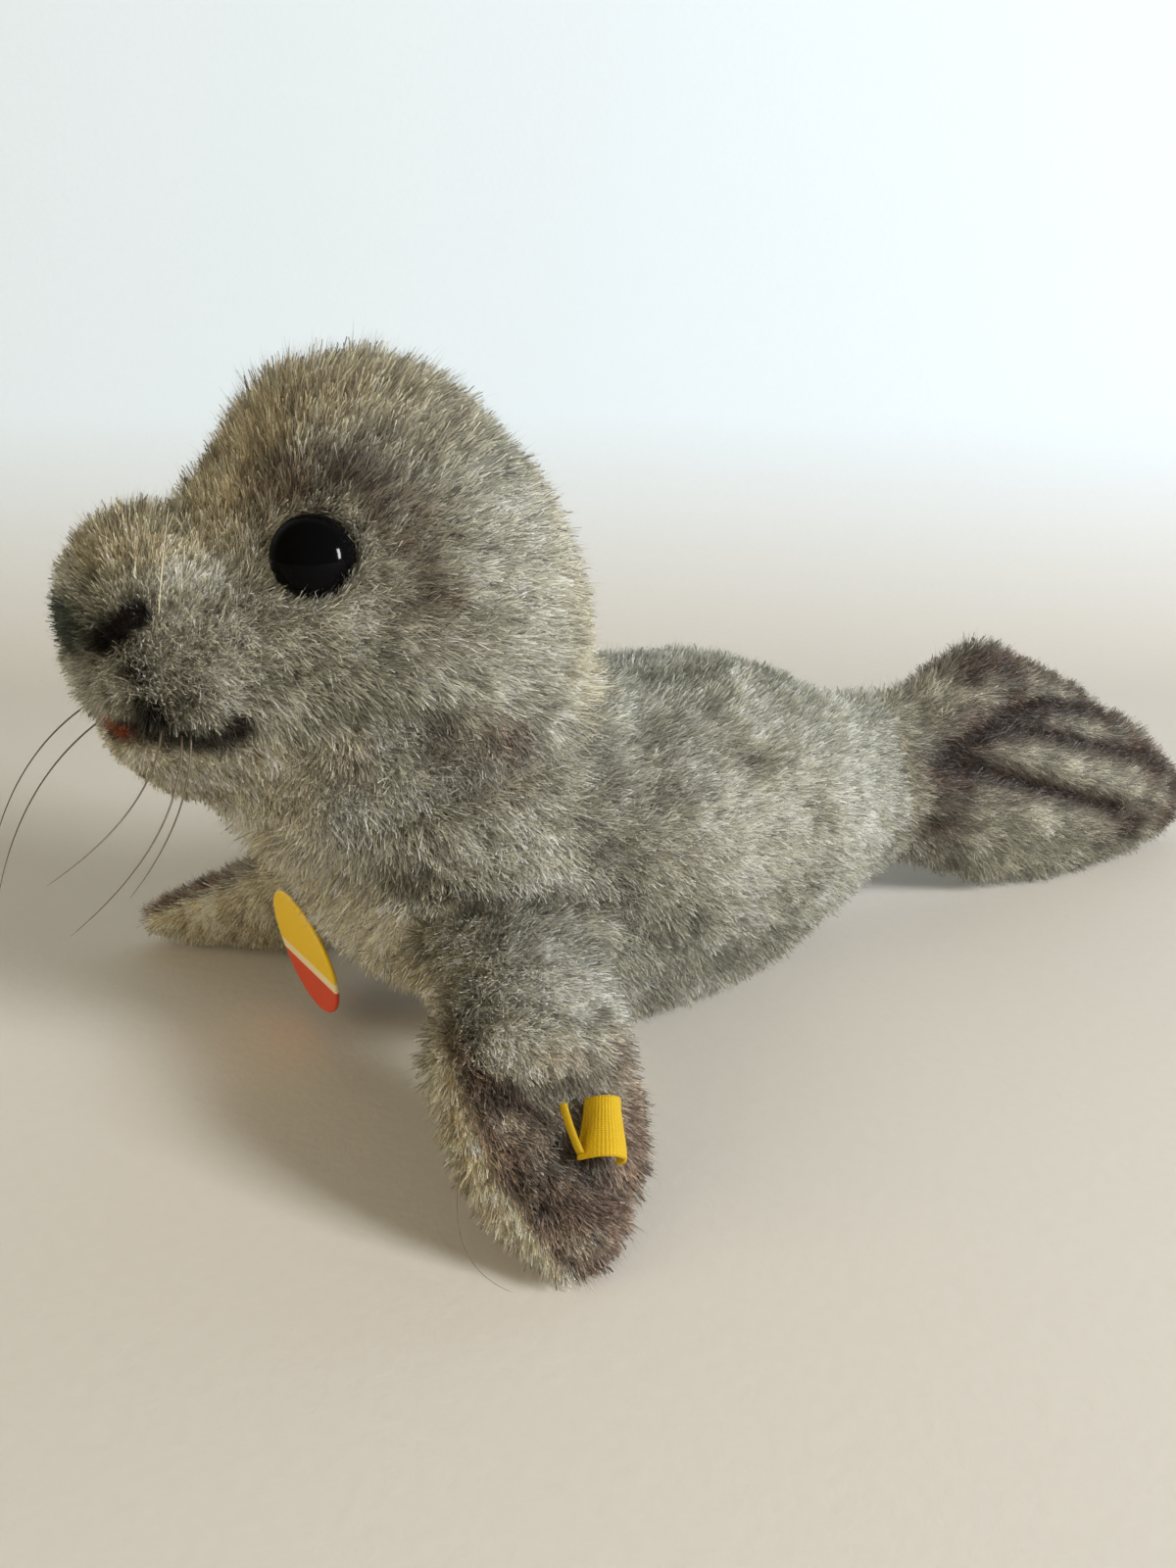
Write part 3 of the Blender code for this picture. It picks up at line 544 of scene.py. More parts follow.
class SEAL_OT_skins(bpy.types.Operator):
    """Add the stuffed skins under the pile"""

    bl_idname = "seal.skins"
    bl_label = "Stuffed skins"

    def execute(self, context):
        settings = context.scene.seal_skin
        insets = {"torso": settings.torso_inset, "head": settings.head_inset}
        clouds = {node: cad_cloud(node) for node in PLUSH_NODES}
        eyes = [place for place, _ in eye_frames().values()]
        for node in PLUSH_NODES:
            piece = self.remeshed(node, settings.voxel * MM)
            self.draw_in(piece, node, insets.get(node, settings.limb_inset), clouds, eyes)
            self.fill(context, piece, settings)
            self.press(piece, node)
            piece.modifiers.new("smooth", "SUBSURF").levels = 1
            mesh = settled(piece)
            shade_smooth(mesh)
            self.paint(piece, node, clouds)
            mesh.materials.clear()
            mesh.materials.append(backing_material(node + "_backing"))
            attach(piece, "root")
            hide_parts(node)
        return {"FINISHED"}

    def remeshed(self, node, cell):
        """Copy of a CAD node, merged and remeshed to even cells."""
        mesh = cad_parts[node].data.copy()
        work = bmesh.new()
        work.from_mesh(mesh)
        bmesh.ops.remove_doubles(work, verts=work.verts, dist=1e-5)
        work.to_mesh(mesh)
        work.free()
        piece = bpy.data.objects.new(node + "_skin", mesh)
        bpy.context.scene.collection.objects.link(piece)
        remesh = piece.modifiers.new("cells", "REMESH")
        remesh.mode = "VOXEL"
        remesh.voxel_size = cell
        settled(piece)
        return piece

    def draw_in(self, piece, node, inset, clouds, eyes):
        """Moves each point inward by the pile's room, less on thin parts, at seams and by the eyes."""
        points, normals, _ = mesh_arrays(piece.data)
        plan = to_plan(points)
        others = np.concatenate([cloud for name, cloud in clouds.items() if name != node])
        thick = nearest_to(plan, plan, normals, normals)
        room = nearest_to(plan, others)
        _, _, reach = PAINT[node](plan, normals)
        depth = np.minimum(inset * reach, 0.27 * thick) * (0.15 + 0.85 * ease(0.8, 5.0, room))
        if node in ("head", "torso"):
            depth = depth - 1.6 * (1.0 - ease(1.0, 8.0, room)) * ease(40.0, 47.0, plan[:, 2])
        if node == "front_flipper_left":
            depth = depth - 2.6 * stroke(plan, ((27.0, 8.0, 33.0), (40.0, 2.0, 27.0)), 5.0)
            depth = depth + 1.2 * stroke(plan, ((50.0, -2.0, 17.0), (64.0, 5.0, 3.0)), 5.0)
        if node == "head":
            jaw = ease(64.0, 60.0, plan[:, 2]) * ease(-3.0, -9.0, plan[:, 1])
            depth = depth + 2.4 * jaw
            depth = depth + 1.4 * ease(20.0, 32.0, plan[:, 1]) * ease(62.0, 72.0, plan[:, 2])
            for place in eyes:
                gap = np.linalg.norm(plan - place, axis=1)
                depth = np.minimum(depth, 2.6 + 2.0 * ease(8.0, 13.0, gap))
        depth = relaxed(depth, piece.data, 4)
        moved = points - normals * depth[:, None] * MM
        moved[:, 2] = np.maximum(moved[:, 2], 0.4 * MM)
        piece.data.vertices.foreach_set("co", moved.astype(np.float32).ravel())
        piece.data.update()

    def fill(self, context, piece, settings):
        """Pushes the skin out with the filling's pressure, no point further than the swell."""
        before = mesh_arrays(piece.data)[0]
        cloth = piece.modifiers.new("filling", "CLOTH")
        cloth.settings.use_pressure = True
        cloth.settings.uniform_pressure_force = settings.pressure
        cloth.settings.effector_weights.gravity = 0.0
        cloth.point_cache.frame_start = 1
        cloth.point_cache.frame_end = 20
        for number in range(1, 21):
            context.scene.frame_set(number)
        mesh = settled(piece)
        context.scene.frame_set(1)
        after = mesh_arrays(mesh)[0]
        move = after - before
        reach = np.maximum(np.linalg.norm(move, axis=1, keepdims=True), 1e-9)
        after = before + move * np.minimum(1.0, settings.swell * MM / reach)
        after[:, 2] = np.maximum(after[:, 2], 0.4 * MM)
        mesh.vertices.foreach_set("co", after.astype(np.float32).ravel())
        mesh.update()

    def press(self, piece, node):
        """Pulls the stitched lines in."""
        points, normals, _ = mesh_arrays(piece.data)
        depth = furrow_depth(node, to_plan(points), normals)
        moved = points - normals * depth[:, None] * MM
        piece.data.vertices.foreach_set("co", moved.astype(np.float32).ravel())
        piece.data.update()

    def paint(self, piece, node, clouds):
        """Keeps the roots' tint and the room to the neighbouring solids on the skin's points."""
        points, normals, _ = mesh_arrays(piece.data)
        plan = to_plan(points)
        _, root, _ = PAINT[node](plan, normals)
        set_colour(piece.data, "tint", root * 0.75)
        others = np.concatenate([cloud for name, cloud in clouds.items() if name != node])
        layer = piece.data.attributes.new("room", "FLOAT", "POINT")
        layer.data.foreach_set("value", nearest_to(plan, others).astype(np.float32))


def shades(count, *colours):
    """Arrays of the same colour on every row."""
    return [np.tile(np.array(value), (count, 1)) for value in colours]


def paint_torso(plan, normals):
    """Tips, roots and hair length of the torso: grey back and flanks, cream throat and belly, painted shade toward the
    front and along the shoulder crease, and painted light on the low flanks.
    """
    fur = bpy.context.scene.seal_fur
    tip, root, cream, cream_root, brown, dark = shades(
        len(plan), fur.silver, fur.silver_root, fur.cream, fur.cream_root, fur.brown, fur.dark
    )
    side = np.abs(plan[:, 0])
    wobble = 3.0 * (cloudy(plan, 9.0, 5) - 0.5)
    edge = np.interp(plan[:, 1], (-9.0, 1.0, 11.0, 25.0, 45.0, 100.0), (62.0, 48.5, 40.0, 24.0, 13.0, 10.0))
    pale = 1.0 - ease(-1.2, 1.2, plan[:, 2] - edge + 0.3 * side + wobble)
    smoky = ease(0.45, 0.75, cloudy(plan, 13.0, 21)) * ease(110.0, 80.0, plan[:, 1])
    # Painted shade: tips and roots go darker toward the front of the torso.
    front = ease(34.0, 12.0, plan[:, 1])
    tip = tip * (1.0 - 0.34 * smoky - 0.16 * front)[:, None]
    root = root * (1.0 - 0.42 * smoky - 0.2 * front)[:, None]
    tail = ease(75.0, 105.0, plan[:, 1])
    root = blend(root, tip * 0.5, 0.6 * tail)
    patch = 0.6 * spot(folded(plan), (26.5, 23.0, 58.0), (9.0, 7.0, 6.0))
    tip = blend(tip, brown, np.clip(patch, 0.0, 1.0))
    root = blend(root, dark, np.clip(patch, 0.0, 1.0))
    tip = blend(tip, cream * 1.1, pale)
    root = blend(root, cream, pale)
    # Painted light: on the low flanks the roots take most of the tips' paler tint, as light from the floor below would
    # make them.
    flank = ease(36.0, 20.0, plan[:, 2]) * ease(20.0, 40.0, plan[:, 1])
    root = blend(root, tip, 0.8 * flank)
    # Painted shade along the shoulder crease: its tips and roots are darker, and its hairs shorter.
    crease = stroke(folded(plan), SHOULDER_LINE, 1.9)
    tip = tip * (1.0 - 0.55 * crease)[:, None]
    root = root * (1.0 - 0.7 * crease)[:, None]
    length = (1.0 + 0.2 * pale) * (1.0 - 0.45 * crease)
    return tip, root, length


def throat_share(plan):
    """How far a point of the head lies below its cheek line, on the throat: from 0 to 1."""
    y, z = plan[:, 1], plan[:, 2]
    cheek_z = np.interp(y, (-12.0, -8.0, -2.6, 4.7, 8.6, 30.0), (63.5, 65.0, 66.2, 69.1, 70.9, 66.0))
    return ease(0.5, -2.5, z - cheek_z) * ease(-11.0, -6.0, y) * ease(34.0, 22.0, y)


def paint_head(plan, normals):
    """Tips, roots and hair length of the head, with its airbrushed eyes, nose and mouth, and painted shade along the
    cheek line.
    """
    fur = bpy.context.scene.seal_fur
    tip, root, cream, cream_root, olive, brown, dark, nose, red = shades(
        len(plan), fur.silver, fur.silver_root, fur.cream, fur.cream_root,
        fur.olive, fur.brown, fur.dark, fur.nose, fur.mouth,
    )
    near = folded(plan)
    y, z = plan[:, 1], plan[:, 2]
    wobble = cloudy(plan, 7.0, 9) - 0.5
    mottle = cloudy(plan, 3.0, 31)
    crown = ease(100.0, 111.0, z + 6.0 * wobble)
    brow = ease(17.0, 8.0, near[:, 0]) * ease(86.0, 95.0, z) * ease(16.0, 2.0, y)
    bridge = ease(14.0, 8.0, near[:, 0]) * ease(88.0, 92.0, z) * ease(-8.0, -14.0, y)
    warm = np.clip(0.7 * crown + brow + 0.8 * bridge, 0.0, 1.0)
    tip = blend(tip, olive, warm)
    root = blend(root, cream_root * 0.7, warm)
    hood = spot(near, (19.0, 24.0, 104.0), (12.0, 12.0, 10.0)) * (0.6 + 0.8 * mottle)
    tip = tip * (1.0 - 0.32 * hood)[:, None]
    root = root * (1.0 - 0.45 * hood)[:, None]
    nape = ease(30.0, 41.0, y + 5.0 * wobble)
    tip = blend(tip, cream, 0.8 * nape)
    root = blend(root, cream_root, 0.6 * nape)
    chin = ease(66.5, 63.5, z + 2.0 * wobble) * ease(-1.0, -8.0, y)
    tip = blend(tip, cream * 1.1, chin)
    root = blend(root, cream, chin)
    throat = throat_share(plan)
    blotch = throat * ease(0.45, 0.8, cloudy(plan, 6.0, 41))
    tip = blend(tip * (1.0 - 0.18 * throat)[:, None], brown, 0.55 * blotch)
    root = blend(root * (1.0 - 0.35 * throat)[:, None], dark, 0.5 * blotch)
    # Painted shade along the cheek line: its tips and roots are darker, and its hairs shorter.
    crease = stroke(near, CHEEK_LINE, 2.1)
    tip = tip * (1.0 - 0.55 * crease)[:, None]
    root = root * (1.0 - 0.7 * crease)[:, None]
    place, _ = eye_frames()["eye_left"]
    gap = near - place
    around = np.hypot(gap[:, 1], gap[:, 2])
    ring = stroke(near, BROW_LINE, 5.5) * (0.2 + 1.2 * mottle)
    ring = np.maximum(ring, 0.55 * stroke(near, BROW_LINE[3:], 8.0) * (0.3 + mottle))
    tip = blend(tip, brown * 0.8, np.clip(ring, 0.0, 1.0))
    root = blend(root, dark * 0.7, np.clip(ring, 0.0, 1.0))
    deep = np.clip(1.1 * spot(near, (22.0, 4.0, 101.0), (6.0, 4.5, 3.2)) * (0.4 + mottle), 0.0, 0.9)
    tip = blend(tip, dark, deep)
    smudge = 0.75 * spot(near, (27.5, 20.0, 62.5), (9.0, 7.0, 4.5)) * (0.4 + mottle)
    smudge = smudge + 0.6 * spot(near, (16.5, -18.6, 73.5), (3.4, 3.4, 3.0)) * (0.4 + mottle)
    smudge = smudge + 0.35 * spot(near, (16.0, -13.0, 84.0), (5.0, 5.0, 6.0)) * (0.4 + mottle)
    tip = blend(tip, brown, np.clip(smudge, 0.0, 1.0))
    root = blend(root, dark, np.clip(smudge, 0.0, 1.0))
    muzzle = 0.5 * spot(near, (9.0, -24.0, 90.0), (9.0, 7.0, 6.0))
    tip = blend(tip, olive * 0.8, muzzle)
    black = np.clip(1.5 * spot(near, (2.5, -30.5, 81.7), (7.5, 5.0, 4.6)), 0.0, 1.0)
    tip = blend(tip, nose * 1.3, 0.92 * black)
    root = blend(root, nose * 0.9, 0.92 * black)
    nostril = stroke(near, NOSTRIL, 2.2)
    marks = 1.8 * nostril
    marks = marks + 1.5 * spot(near, (13.6, -24.8, 76.7), (2.2, 2.2, 1.9))
    marks = marks + 1.6 * spot(near, (14.2, -23.3, 71.3), (2.6, 2.5, 2.2))
    mouth = stroke(near, MOUTH, 1.7) * ease(2.0, 5.0, near[:, 0])
    corner = 1.1 * spot(near, (17.9, -13.6, 67.5), (2.8, 2.0, 1.9))
    inked = np.clip(marks + 2.0 * mouth + corner, 0.0, 1.0)
    tip = blend(tip, dark * 0.2, inked)
    root = blend(root, dark * 0.15, inked)
    lip = np.clip(1.4 * spot(near, (7.2, -27.2, 67.8), (2.6, 2.2, 1.3)), 0.0, 1.0)
    tip = blend(tip, red, lip)
    root = blend(root, red * 0.6, lip)
    length = 1.0 - 0.3 * np.exp(-((around / 9.0) ** 2)) * ease(4.0, 10.0, near[:, 0])
    length = length * (1.0 - 0.42 * ease(-8.0, -16.0, y) * ease(94.0, 88.0, z))
    length = length * (1.0 - 0.35 * ease(68.0, 62.0, z) * ease(-2.0, -9.0, y))
    length = length * (1.0 - 0.65 * np.clip(mouth + 0.8 * corner + 0.8 * nostril, 0.0, 1.0))
    length = length * (1.0 - 0.25 * throat) * (1.0 + 0.3 * crown) * (1.0 - 0.45 * crease)
    return tip, root, length


def paint_left_flipper(plan, normals):
    """Tips, roots and hair length of the left flipper: pale arm, brown ridge and cream underside."""
    return paint_flipper(plan, normals, 1.0)


def paint_right_flipper(plan, normals):
    """Tips, roots and hair length of the right flipper, coloured as the left one."""
    return paint_flipper(plan, normals, -1.0)


def paint_flipper(plan, normals, side):
    """A flipper's tints: silver upper arm, brown ridge along its front edge, cream underneath, and on the left one
    painted shade in its folds and its hand.

    The way across the flipper is 0.7 of the sum of y and z. The ridge lies between two lines that
    run from the shoulder to the tip, and the palm is where the skin faces the cream side.
    """
    fur = bpy.context.scene.seal_fur
    tip, root, cream, cream_root, brown, dark = shades(
        len(plan), fur.silver, fur.silver_root, fur.cream, fur.cream_root, fur.brown, fur.dark
    )
    near = folded(plan)
    out, y = near[:, 0], plan[:, 1]
    wobble = cloudy(plan, 5.0, 13) - 0.5
    mottle = cloudy(plan, 3.0, 33)
    across = 0.7 * (y + plan[:, 2])
    if side > 0:
        inner_line, outer_line = np.array(HAND_RIDGE), np.array(HAND_EDGE)
        inner = np.interp(out, inner_line[:, 0], 0.7 * inner_line[:, 1:].sum(axis=1))
        outer = np.interp(out, outer_line[:, 0], 0.7 * outer_line[:, 1:].sum(axis=1))
        palm = -normals @ np.array((0.78, 0.09, 0.61))
    else:
        outer = np.interp(out, (32.0, 41.0, 49.0, 56.5, 62.5, 66.5), (20.3, 13.7, 7.4, 0.4, -5.5, -8.0))
        inner = outer + 9.0
        palm = normals @ np.array((0.66, -0.42, -0.61))
    ridge = ease(outer - 0.8, outer + 0.8, across + wobble) * ease(inner + 1.6, inner - 1.4, across + 2.0 * wobble)
    share = np.clip(ridge * (0.6 + 0.55 * mottle), 0.0, 1.0)
    share = share * (0.55 + 0.45 * ease(38.0, 50.0, out))
    tip = blend(tip, brown, share)
    root = blend(root, dark * 0.8, share)
    # The hand beyond the arm's end is brown; its darker brown inside stands partly for painted shade.
    hand = ease(52.6, 54.6, out + 1.5 * wobble) * (1.0 - ridge)
    tip = blend(tip, brown * 0.9, 0.85 * hand)
    root = blend(root, dark * 0.8, 0.8 * hand)
    if side > 0:
        # Painted shade in the folds at the ridge's end and at the arm's end.
        fold = np.maximum(stroke(plan, HAND_RIDGE[4:], 1.6), stroke(plan, HAND_FOLD, 1.8))
        tip = blend(tip, dark, 0.7 * fold)
        root = blend(root, dark * 0.6, 0.85 * fold)
        curled = stroke(plan, HAND_BACK, 4.0) * ease(48.0, 50.0, out)
        tip = blend(tip, brown * 2.0, 0.85 * curled)
        root = blend(root, brown, 0.85 * curled)
    else:
        fold = np.zeros(len(plan))
    under = np.maximum(ease(outer + 0.5, outer - 0.9, across + wobble), ease(0.15, 0.45, palm))
    tip = blend(tip, cream, under)
    root = blend(root, cream_root * 1.1, under)
    length = (0.95 + 0.1 * hand - 0.25 * under * ease(44.0, 52.0, out)) * (1.0 - 0.45 * fold)
    return tip, root, length


def paint_fin(plan, normals):
    """Tips, roots and hair length of the tail fin: silver, browned along its tucks and edges, and dark in its tucks,
    partly as painted shade.
    """
    fur = bpy.context.scene.seal_fur
    tip, root, brown, dark = shades(len(plan), fur.silver, fur.silver_root, fur.brown, fur.dark)
    y, z = plan[:, 1], plan[:, 2]
    wobble = cloudy(plan, 8.0, 17) - 0.5
    mottle = cloudy(plan, 5.0, 37)
    tip = tip * (0.76 - 0.34 * mottle)[:, None]
    flat = np.column_stack((np.zeros(len(plan)), y, z))
    tucks = np.zeros(len(plan))
    for tuck in FIN_TUCKS:
        tucks = np.maximum(tucks, stroke(flat, [(0.0, a, b) for a, b in tuck], 2.0))
    halo = np.zeros(len(plan))
    for tuck in FIN_TUCKS:
        halo = np.maximum(halo, stroke(flat, [(0.0, a, b) for a, b in tuck], 4.5))
    halo = np.maximum(halo, 1.2 * stroke(flat, [(0.0, a, b) for a, b in FIN_FOLD], 3.0))
    flank = np.abs(normals[:, 0])
    top = ease(30.0, 44.0, z - 0.15 * (y - 140.0)) * ease(126.0, 150.0, y)
    rim = ease(192.0, 212.0, y + 0.45 * (z - 15.0) + 8.0 * wobble)
    root_spot = spot(flat, (0.0, 133.0, 27.0), (5.0, 8.0, 14.0))
    low = spot(flat, (0.0, 195.0, 11.0), (5.0, 10.0, 6.0))
    # Brown on the top, the rim, the root and low down is airbrushing; the brown round the tucks and the fold is partly
    # painted shade.
    browned = 0.6 * top + 0.85 * rim + 0.95 * root_spot + 0.8 * low + 0.75 * halo * flank
    browned = np.clip(browned * (0.4 + 1.1 * mottle), 0.0, 1.0)
    tip = blend(tip, brown * 0.6, browned)
    root = blend(root, dark * 0.9, browned)
    # Dark brown in the tucks on the fin's sides: partly airbrushing and partly painted shade. The hairs are shorter
    # there too.
    inked = np.clip(1.2 * tucks * flank, 0.0, 1.0)
    tip = blend(tip, dark * 1.2, inked)
    root = blend(root, dark * 0.6, inked)
    length = 1.0 - 0.4 * tucks * flank
    return tip, root, length


PAINT = {
    "torso": paint_torso,
    "head": paint_head,
    "front_flipper_left": paint_left_flipper,
    "front_flipper_right": paint_right_flipper,
    "tail_fin": paint_fin,
}


def comb_torso(plan):
    """Way the torso's pile lies: to the tail and down, straight down on the chest."""
    flow = np.tile((0.0, 1.0, -0.35), (len(plan), 1))
    chest = np.tile((0.0, -0.2, -1.0), (len(plan), 1))
    return blend(flow, chest, ease(14.0, 2.0, plan[:, 1]))


def comb_head(plan):
    """Way the head's pile lies: away from the nose, back along the muzzle, drooping on the cheeks."""
    away = unit(plan - NOSE)
    droop = ease(78.0, 58.0, plan[:, 2]) * ease(-20.0, -4.0, plan[:, 1])
    away[:, 2] -= 0.9 * droop
    back = np.tile((0.0, 1.0, 0.5), (len(plan), 1))
    back[:, 0] = 0.3 * np.sign(plan[:, 0])
    back[:, 2] = np.interp(plan[:, 2], (62.0, 74.0, 88.0), (-0.1, 0.2, 0.7))
    return blend(unit(away), unit(back), ease(-6.0, -14.0, plan[:, 1]))


def comb_flipper(plan):
    """Way a flipper's pile lies: outward and down to its tip."""
    flow = np.tile((1.0, 0.1, -0.8), (len(plan), 1))
    flow[:, 0] = np.sign(plan[:, 0])
    return flow


def comb_fin(plan):
    """Way the fin's pile lies: to its tip and a little down."""
    return np.tile((0.0, 1.0, -0.25), (len(plan), 1))


def hairs(skin, count, length, lean, comb, paint, tuft, rough, seed):
    """Roots, tips, side ways and tints of hairs grown from a skin.

    Roots are spread over the skin's triangles by area. A hair leans from the skin's normal to the
    combed way by an angle, swirls about it, and is drawn to its tuft's centre at its tip.
    """
    draw = np.random.default_rng(seed)
    points, normals, triangles = mesh_arrays(skin.data)
    room = np.empty(len(points))
    skin.data.attributes["room"].data.foreach_get("value", room)
    corners = points[triangles]
    area = np.linalg.norm(np.cross(corners[:, 1] - corners[:, 0], corners[:, 2] - corners[:, 0]), axis=1)
    open_share = ease(0.7, 2.2, room)[triangles].mean(axis=1)
    middle = corners.mean(axis=1)
    grounded = (middle[:, 2] < 1.2 * MM) & (normals[triangles].mean(axis=1)[:, 2] < -0.7)
    weight = area * open_share * np.where(grounded, 0.25, 1.0)
    for place, look in eye_frames().values():
        off = to_plan(middle) - place
        along = off @ look
        aside = np.linalg.norm(off - along[:, None] * look, axis=1)
        weight = weight * np.where((np.abs(along) < 9.0) & (aside < 5.2), 0.0, 1.0)
    ladder = np.cumsum(weight)
    picked = np.searchsorted(ladder, (np.arange(count) + draw.random(count)) / count * ladder[-1])
    picked = np.minimum(picked, len(triangles) - 1)
    first, second = draw.random(count), draw.random(count)
    turn = np.sqrt(first)
    shares = np.stack((1.0 - turn, turn * (1.0 - second), turn * second), axis=1)[:, :, None]
    root = to_plan((points[triangles[picked]] * shares).sum(axis=1))
    normal = unit((normals[triangles[picked]] * shares).sum(axis=1))

    _, root_tint, reach = paint(root, normal)
    centre, chance = tufts(root, tuft, seed + 40)
    way = comb(root)
    way = unit(way - (way * normal).sum(axis=1)[:, None] * normal)
    cross = np.cross(normal, way)
    rough = rough(root) if callable(rough) else rough
    lean = lean(root) if callable(lean) else lean
    swirl = rough * (1.3 * (cloudy(root, 9.0, seed + 3) - 0.5) + 1.1 * (chance[:, 0] - 0.5))
    swirl = swirl + 0.5 * rough * draw.standard_normal(count)
    way = np.cos(swirl)[:, None] * way + np.sin(swirl)[:, None] * cross
    angle = lean * (0.7 + 0.6 * chance[:, 1]) + 0.2 * draw.standard_normal(count)
    wisp = draw.random(count) < 0.03
    blunt = ~wisp & (draw.random(count) < 0.42)
    long = length * reach * (0.66 + 0.42 * draw.random(count)) * (0.82 + 0.36 * chance[:, 2])
    long = np.where(blunt, 0.9 * long, 1.08 * long)
    long = np.where(wisp, length * reach * (1.1 + 0.4 * draw.random(count)), long)
    neck = 1.0 - ease(2.0, 9.0, (room[triangles[picked]] * shares[:, :, 0]).sum(axis=1))
    long = long * (1.0 + 0.35 * neck * ease(40.0, 50.0, root[:, 2]))
    flow = np.cos(angle)[:, None] * normal + np.sin(angle)[:, None] * way
    pull = centre - root
    pull = pull - (pull * normal).sum(axis=1)[:, None] * normal
    pull = pull * np.where(wisp, 0.1, 0.7)[:, None]
    tip = root + flow * long[:, None] + pull + 0.1 * draw.standard_normal((count, 3))
    flow = unit(tip - root)
    side = unit(np.cross(flow, normal))
    twist = 0.9 * draw.standard_normal(count)
    side = np.cos(twist)[:, None] * side + np.sin(twist)[:, None] * np.cross(flow, side)
    flat = np.cross(side, flow)
    flat = flat * np.sign((flat * normal).sum(axis=1))[:, None]
    lie = unit(0.62 * normal + 0.45 * flat + 0.12 * draw.standard_normal((count, 3)))
    # Each hair's tint is scaled: a few hairs much paler, many much darker, and whole tufts and patches lighter and
    # darker. It is partly the pile's own mixed tone; the pale hairs also stand for painted glints, and the dark hairs
    # and tufts for painted shade between the tufts.
    level = 0.96 + 0.44 * draw.random(count)
    fleck = draw.random(count)
    level = np.where(fleck < 0.16, level * 1.4, np.where(fleck > 0.72, level * 0.36, level))
    level = level * (0.5 + 1.0 * chance[:, 1]) * (0.6 + 0.8 * cloudy(root, 4.0, seed + 7))
    tip_tint, _, _ = paint(tip, normal)
    tip_tint = tip_tint * level[:, None]
    root_tint = root_tint * (0.2 + 0.8 * level)[:, None]
    return root - 0.3 * normal, tip, side, lie, tip_tint, root_tint, wisp, blunt


def hair_mesh(name, root, tip, side, lie, tip_tint, root_tint, wisp, blunt, width):
    """Each hair is one thin triangle, widest at the root, or at the tip for the clipped underwool."""
    count = len(root)
    half = side * (np.where(wisp, 0.32, np.where(blunt, 0.42, 0.5)) * width)[:, None]
    drawn_out = np.stack((root + half, tip, root - half), axis=1)
    clipped = np.stack((tip - half, root, tip + half), axis=1)
    points = np.where(blunt[:, None, None], clipped, drawn_out).reshape(-1, 3)
    points[:, 2] = np.maximum(points[:, 2], 0.25)
    faces = np.arange(3 * count).reshape(-1, 3)
    mesh = mesh_of(name, to_frame(points), faces)
    tapered_tint = np.stack((root_tint, tip_tint, root_tint), axis=1)
    clipped_tint = np.stack((tip_tint, root_tint, tip_tint), axis=1)
    set_colour(mesh, "tint", np.where(blunt[:, None, None], clipped_tint, tapered_tint).reshape(-1, 3))
    layer = mesh.attributes.new("lie", "FLOAT_VECTOR", "POINT")
    layer.data.foreach_set("vector", np.repeat(lie, 3, axis=0).astype(np.float32).ravel())
    columns = int(math.ceil(math.sqrt(count * 3.0)))
    rows = int(math.ceil(count / columns))
    column, row = np.arange(count) % columns, np.arange(count) // columns
    left, right, centre = (column + 0.04) / columns, (column + 0.96) / columns, (column + 0.5) / columns
    foot, head = (row + 0.05) / rows, (row + 0.95) / rows
    spots = np.stack((left, foot, centre, head, right, foot), axis=1).reshape(-1, 2)
    set_map(mesh, spots[faces.ravel()])
    return mesh


def grow(node, names, count, length, lean, comb, tuft, rough, seed):
    """Pile of one skin, as one piece or as its right and left halves."""
    fur = bpy.context.scene.seal_fur
    skin = bpy.data.objects[node + "_skin"]
    parts = hairs(skin, count, length, lean, comb, PAINT[node], tuft, rough, seed)
    material = hair_material(node + "_pile")
    split = parts[0][:, 0] >= 0.0
    choices = (split, ~split) if len(names) == 2 else (np.full(len(split), True),)
    for name, chosen in zip(names, choices):
        mesh = hair_mesh(name, *(part[chosen] for part in parts), fur.width)
        add_piece(name, mesh, material, PLUSH_SLOTS[node], node)


class SEAL_OT_torso_fur(bpy.types.Operator):
    """Grow the torso's short dense pile"""

    bl_idname = "seal.torso_fur"
    bl_label = "Torso pile"

    def execute(self, context):
        fur = context.scene.seal_fur
        names = ("torso_pile_left", "torso_pile_right")
        grow("torso", names, fur.torso_hairs, fur.torso_pile, 0.65, comb_torso, 1.3, 1.4, 101)
        return {"FINISHED"}


class SEAL_OT_head_fur(bpy.types.Operator):
    """Grow the head's pile, combed away from the nose"""

    bl_idname = "seal.head_fur"
    bl_label = "Head pile"

    def execute(self, context):
        fur = context.scene.seal_fur
        names = ("head_pile_left", "head_pile_right")
        grow("head", names, fur.head_hairs, fur.head_pile, self.lean, comb_head, 1.1, self.rough, 202)
        return {"FINISHED"}

    def rough(self, plan):
        """Swirl of the pile: small on the face, larger on the muzzle and the throat."""
        return 0.8 + 0.7 * throat_share(plan) + 0.5 * ease(-6.0, -16.0, plan[:, 1])

    def lean(self, plan):
        """Lean of the pile in radians: it stands up more on the muzzle than on the cheeks."""
        return 0.95 - 0.35 * ease(-8.0, -20.0, plan[:, 1]) * ease(66.0, 72.0, plan[:, 2])


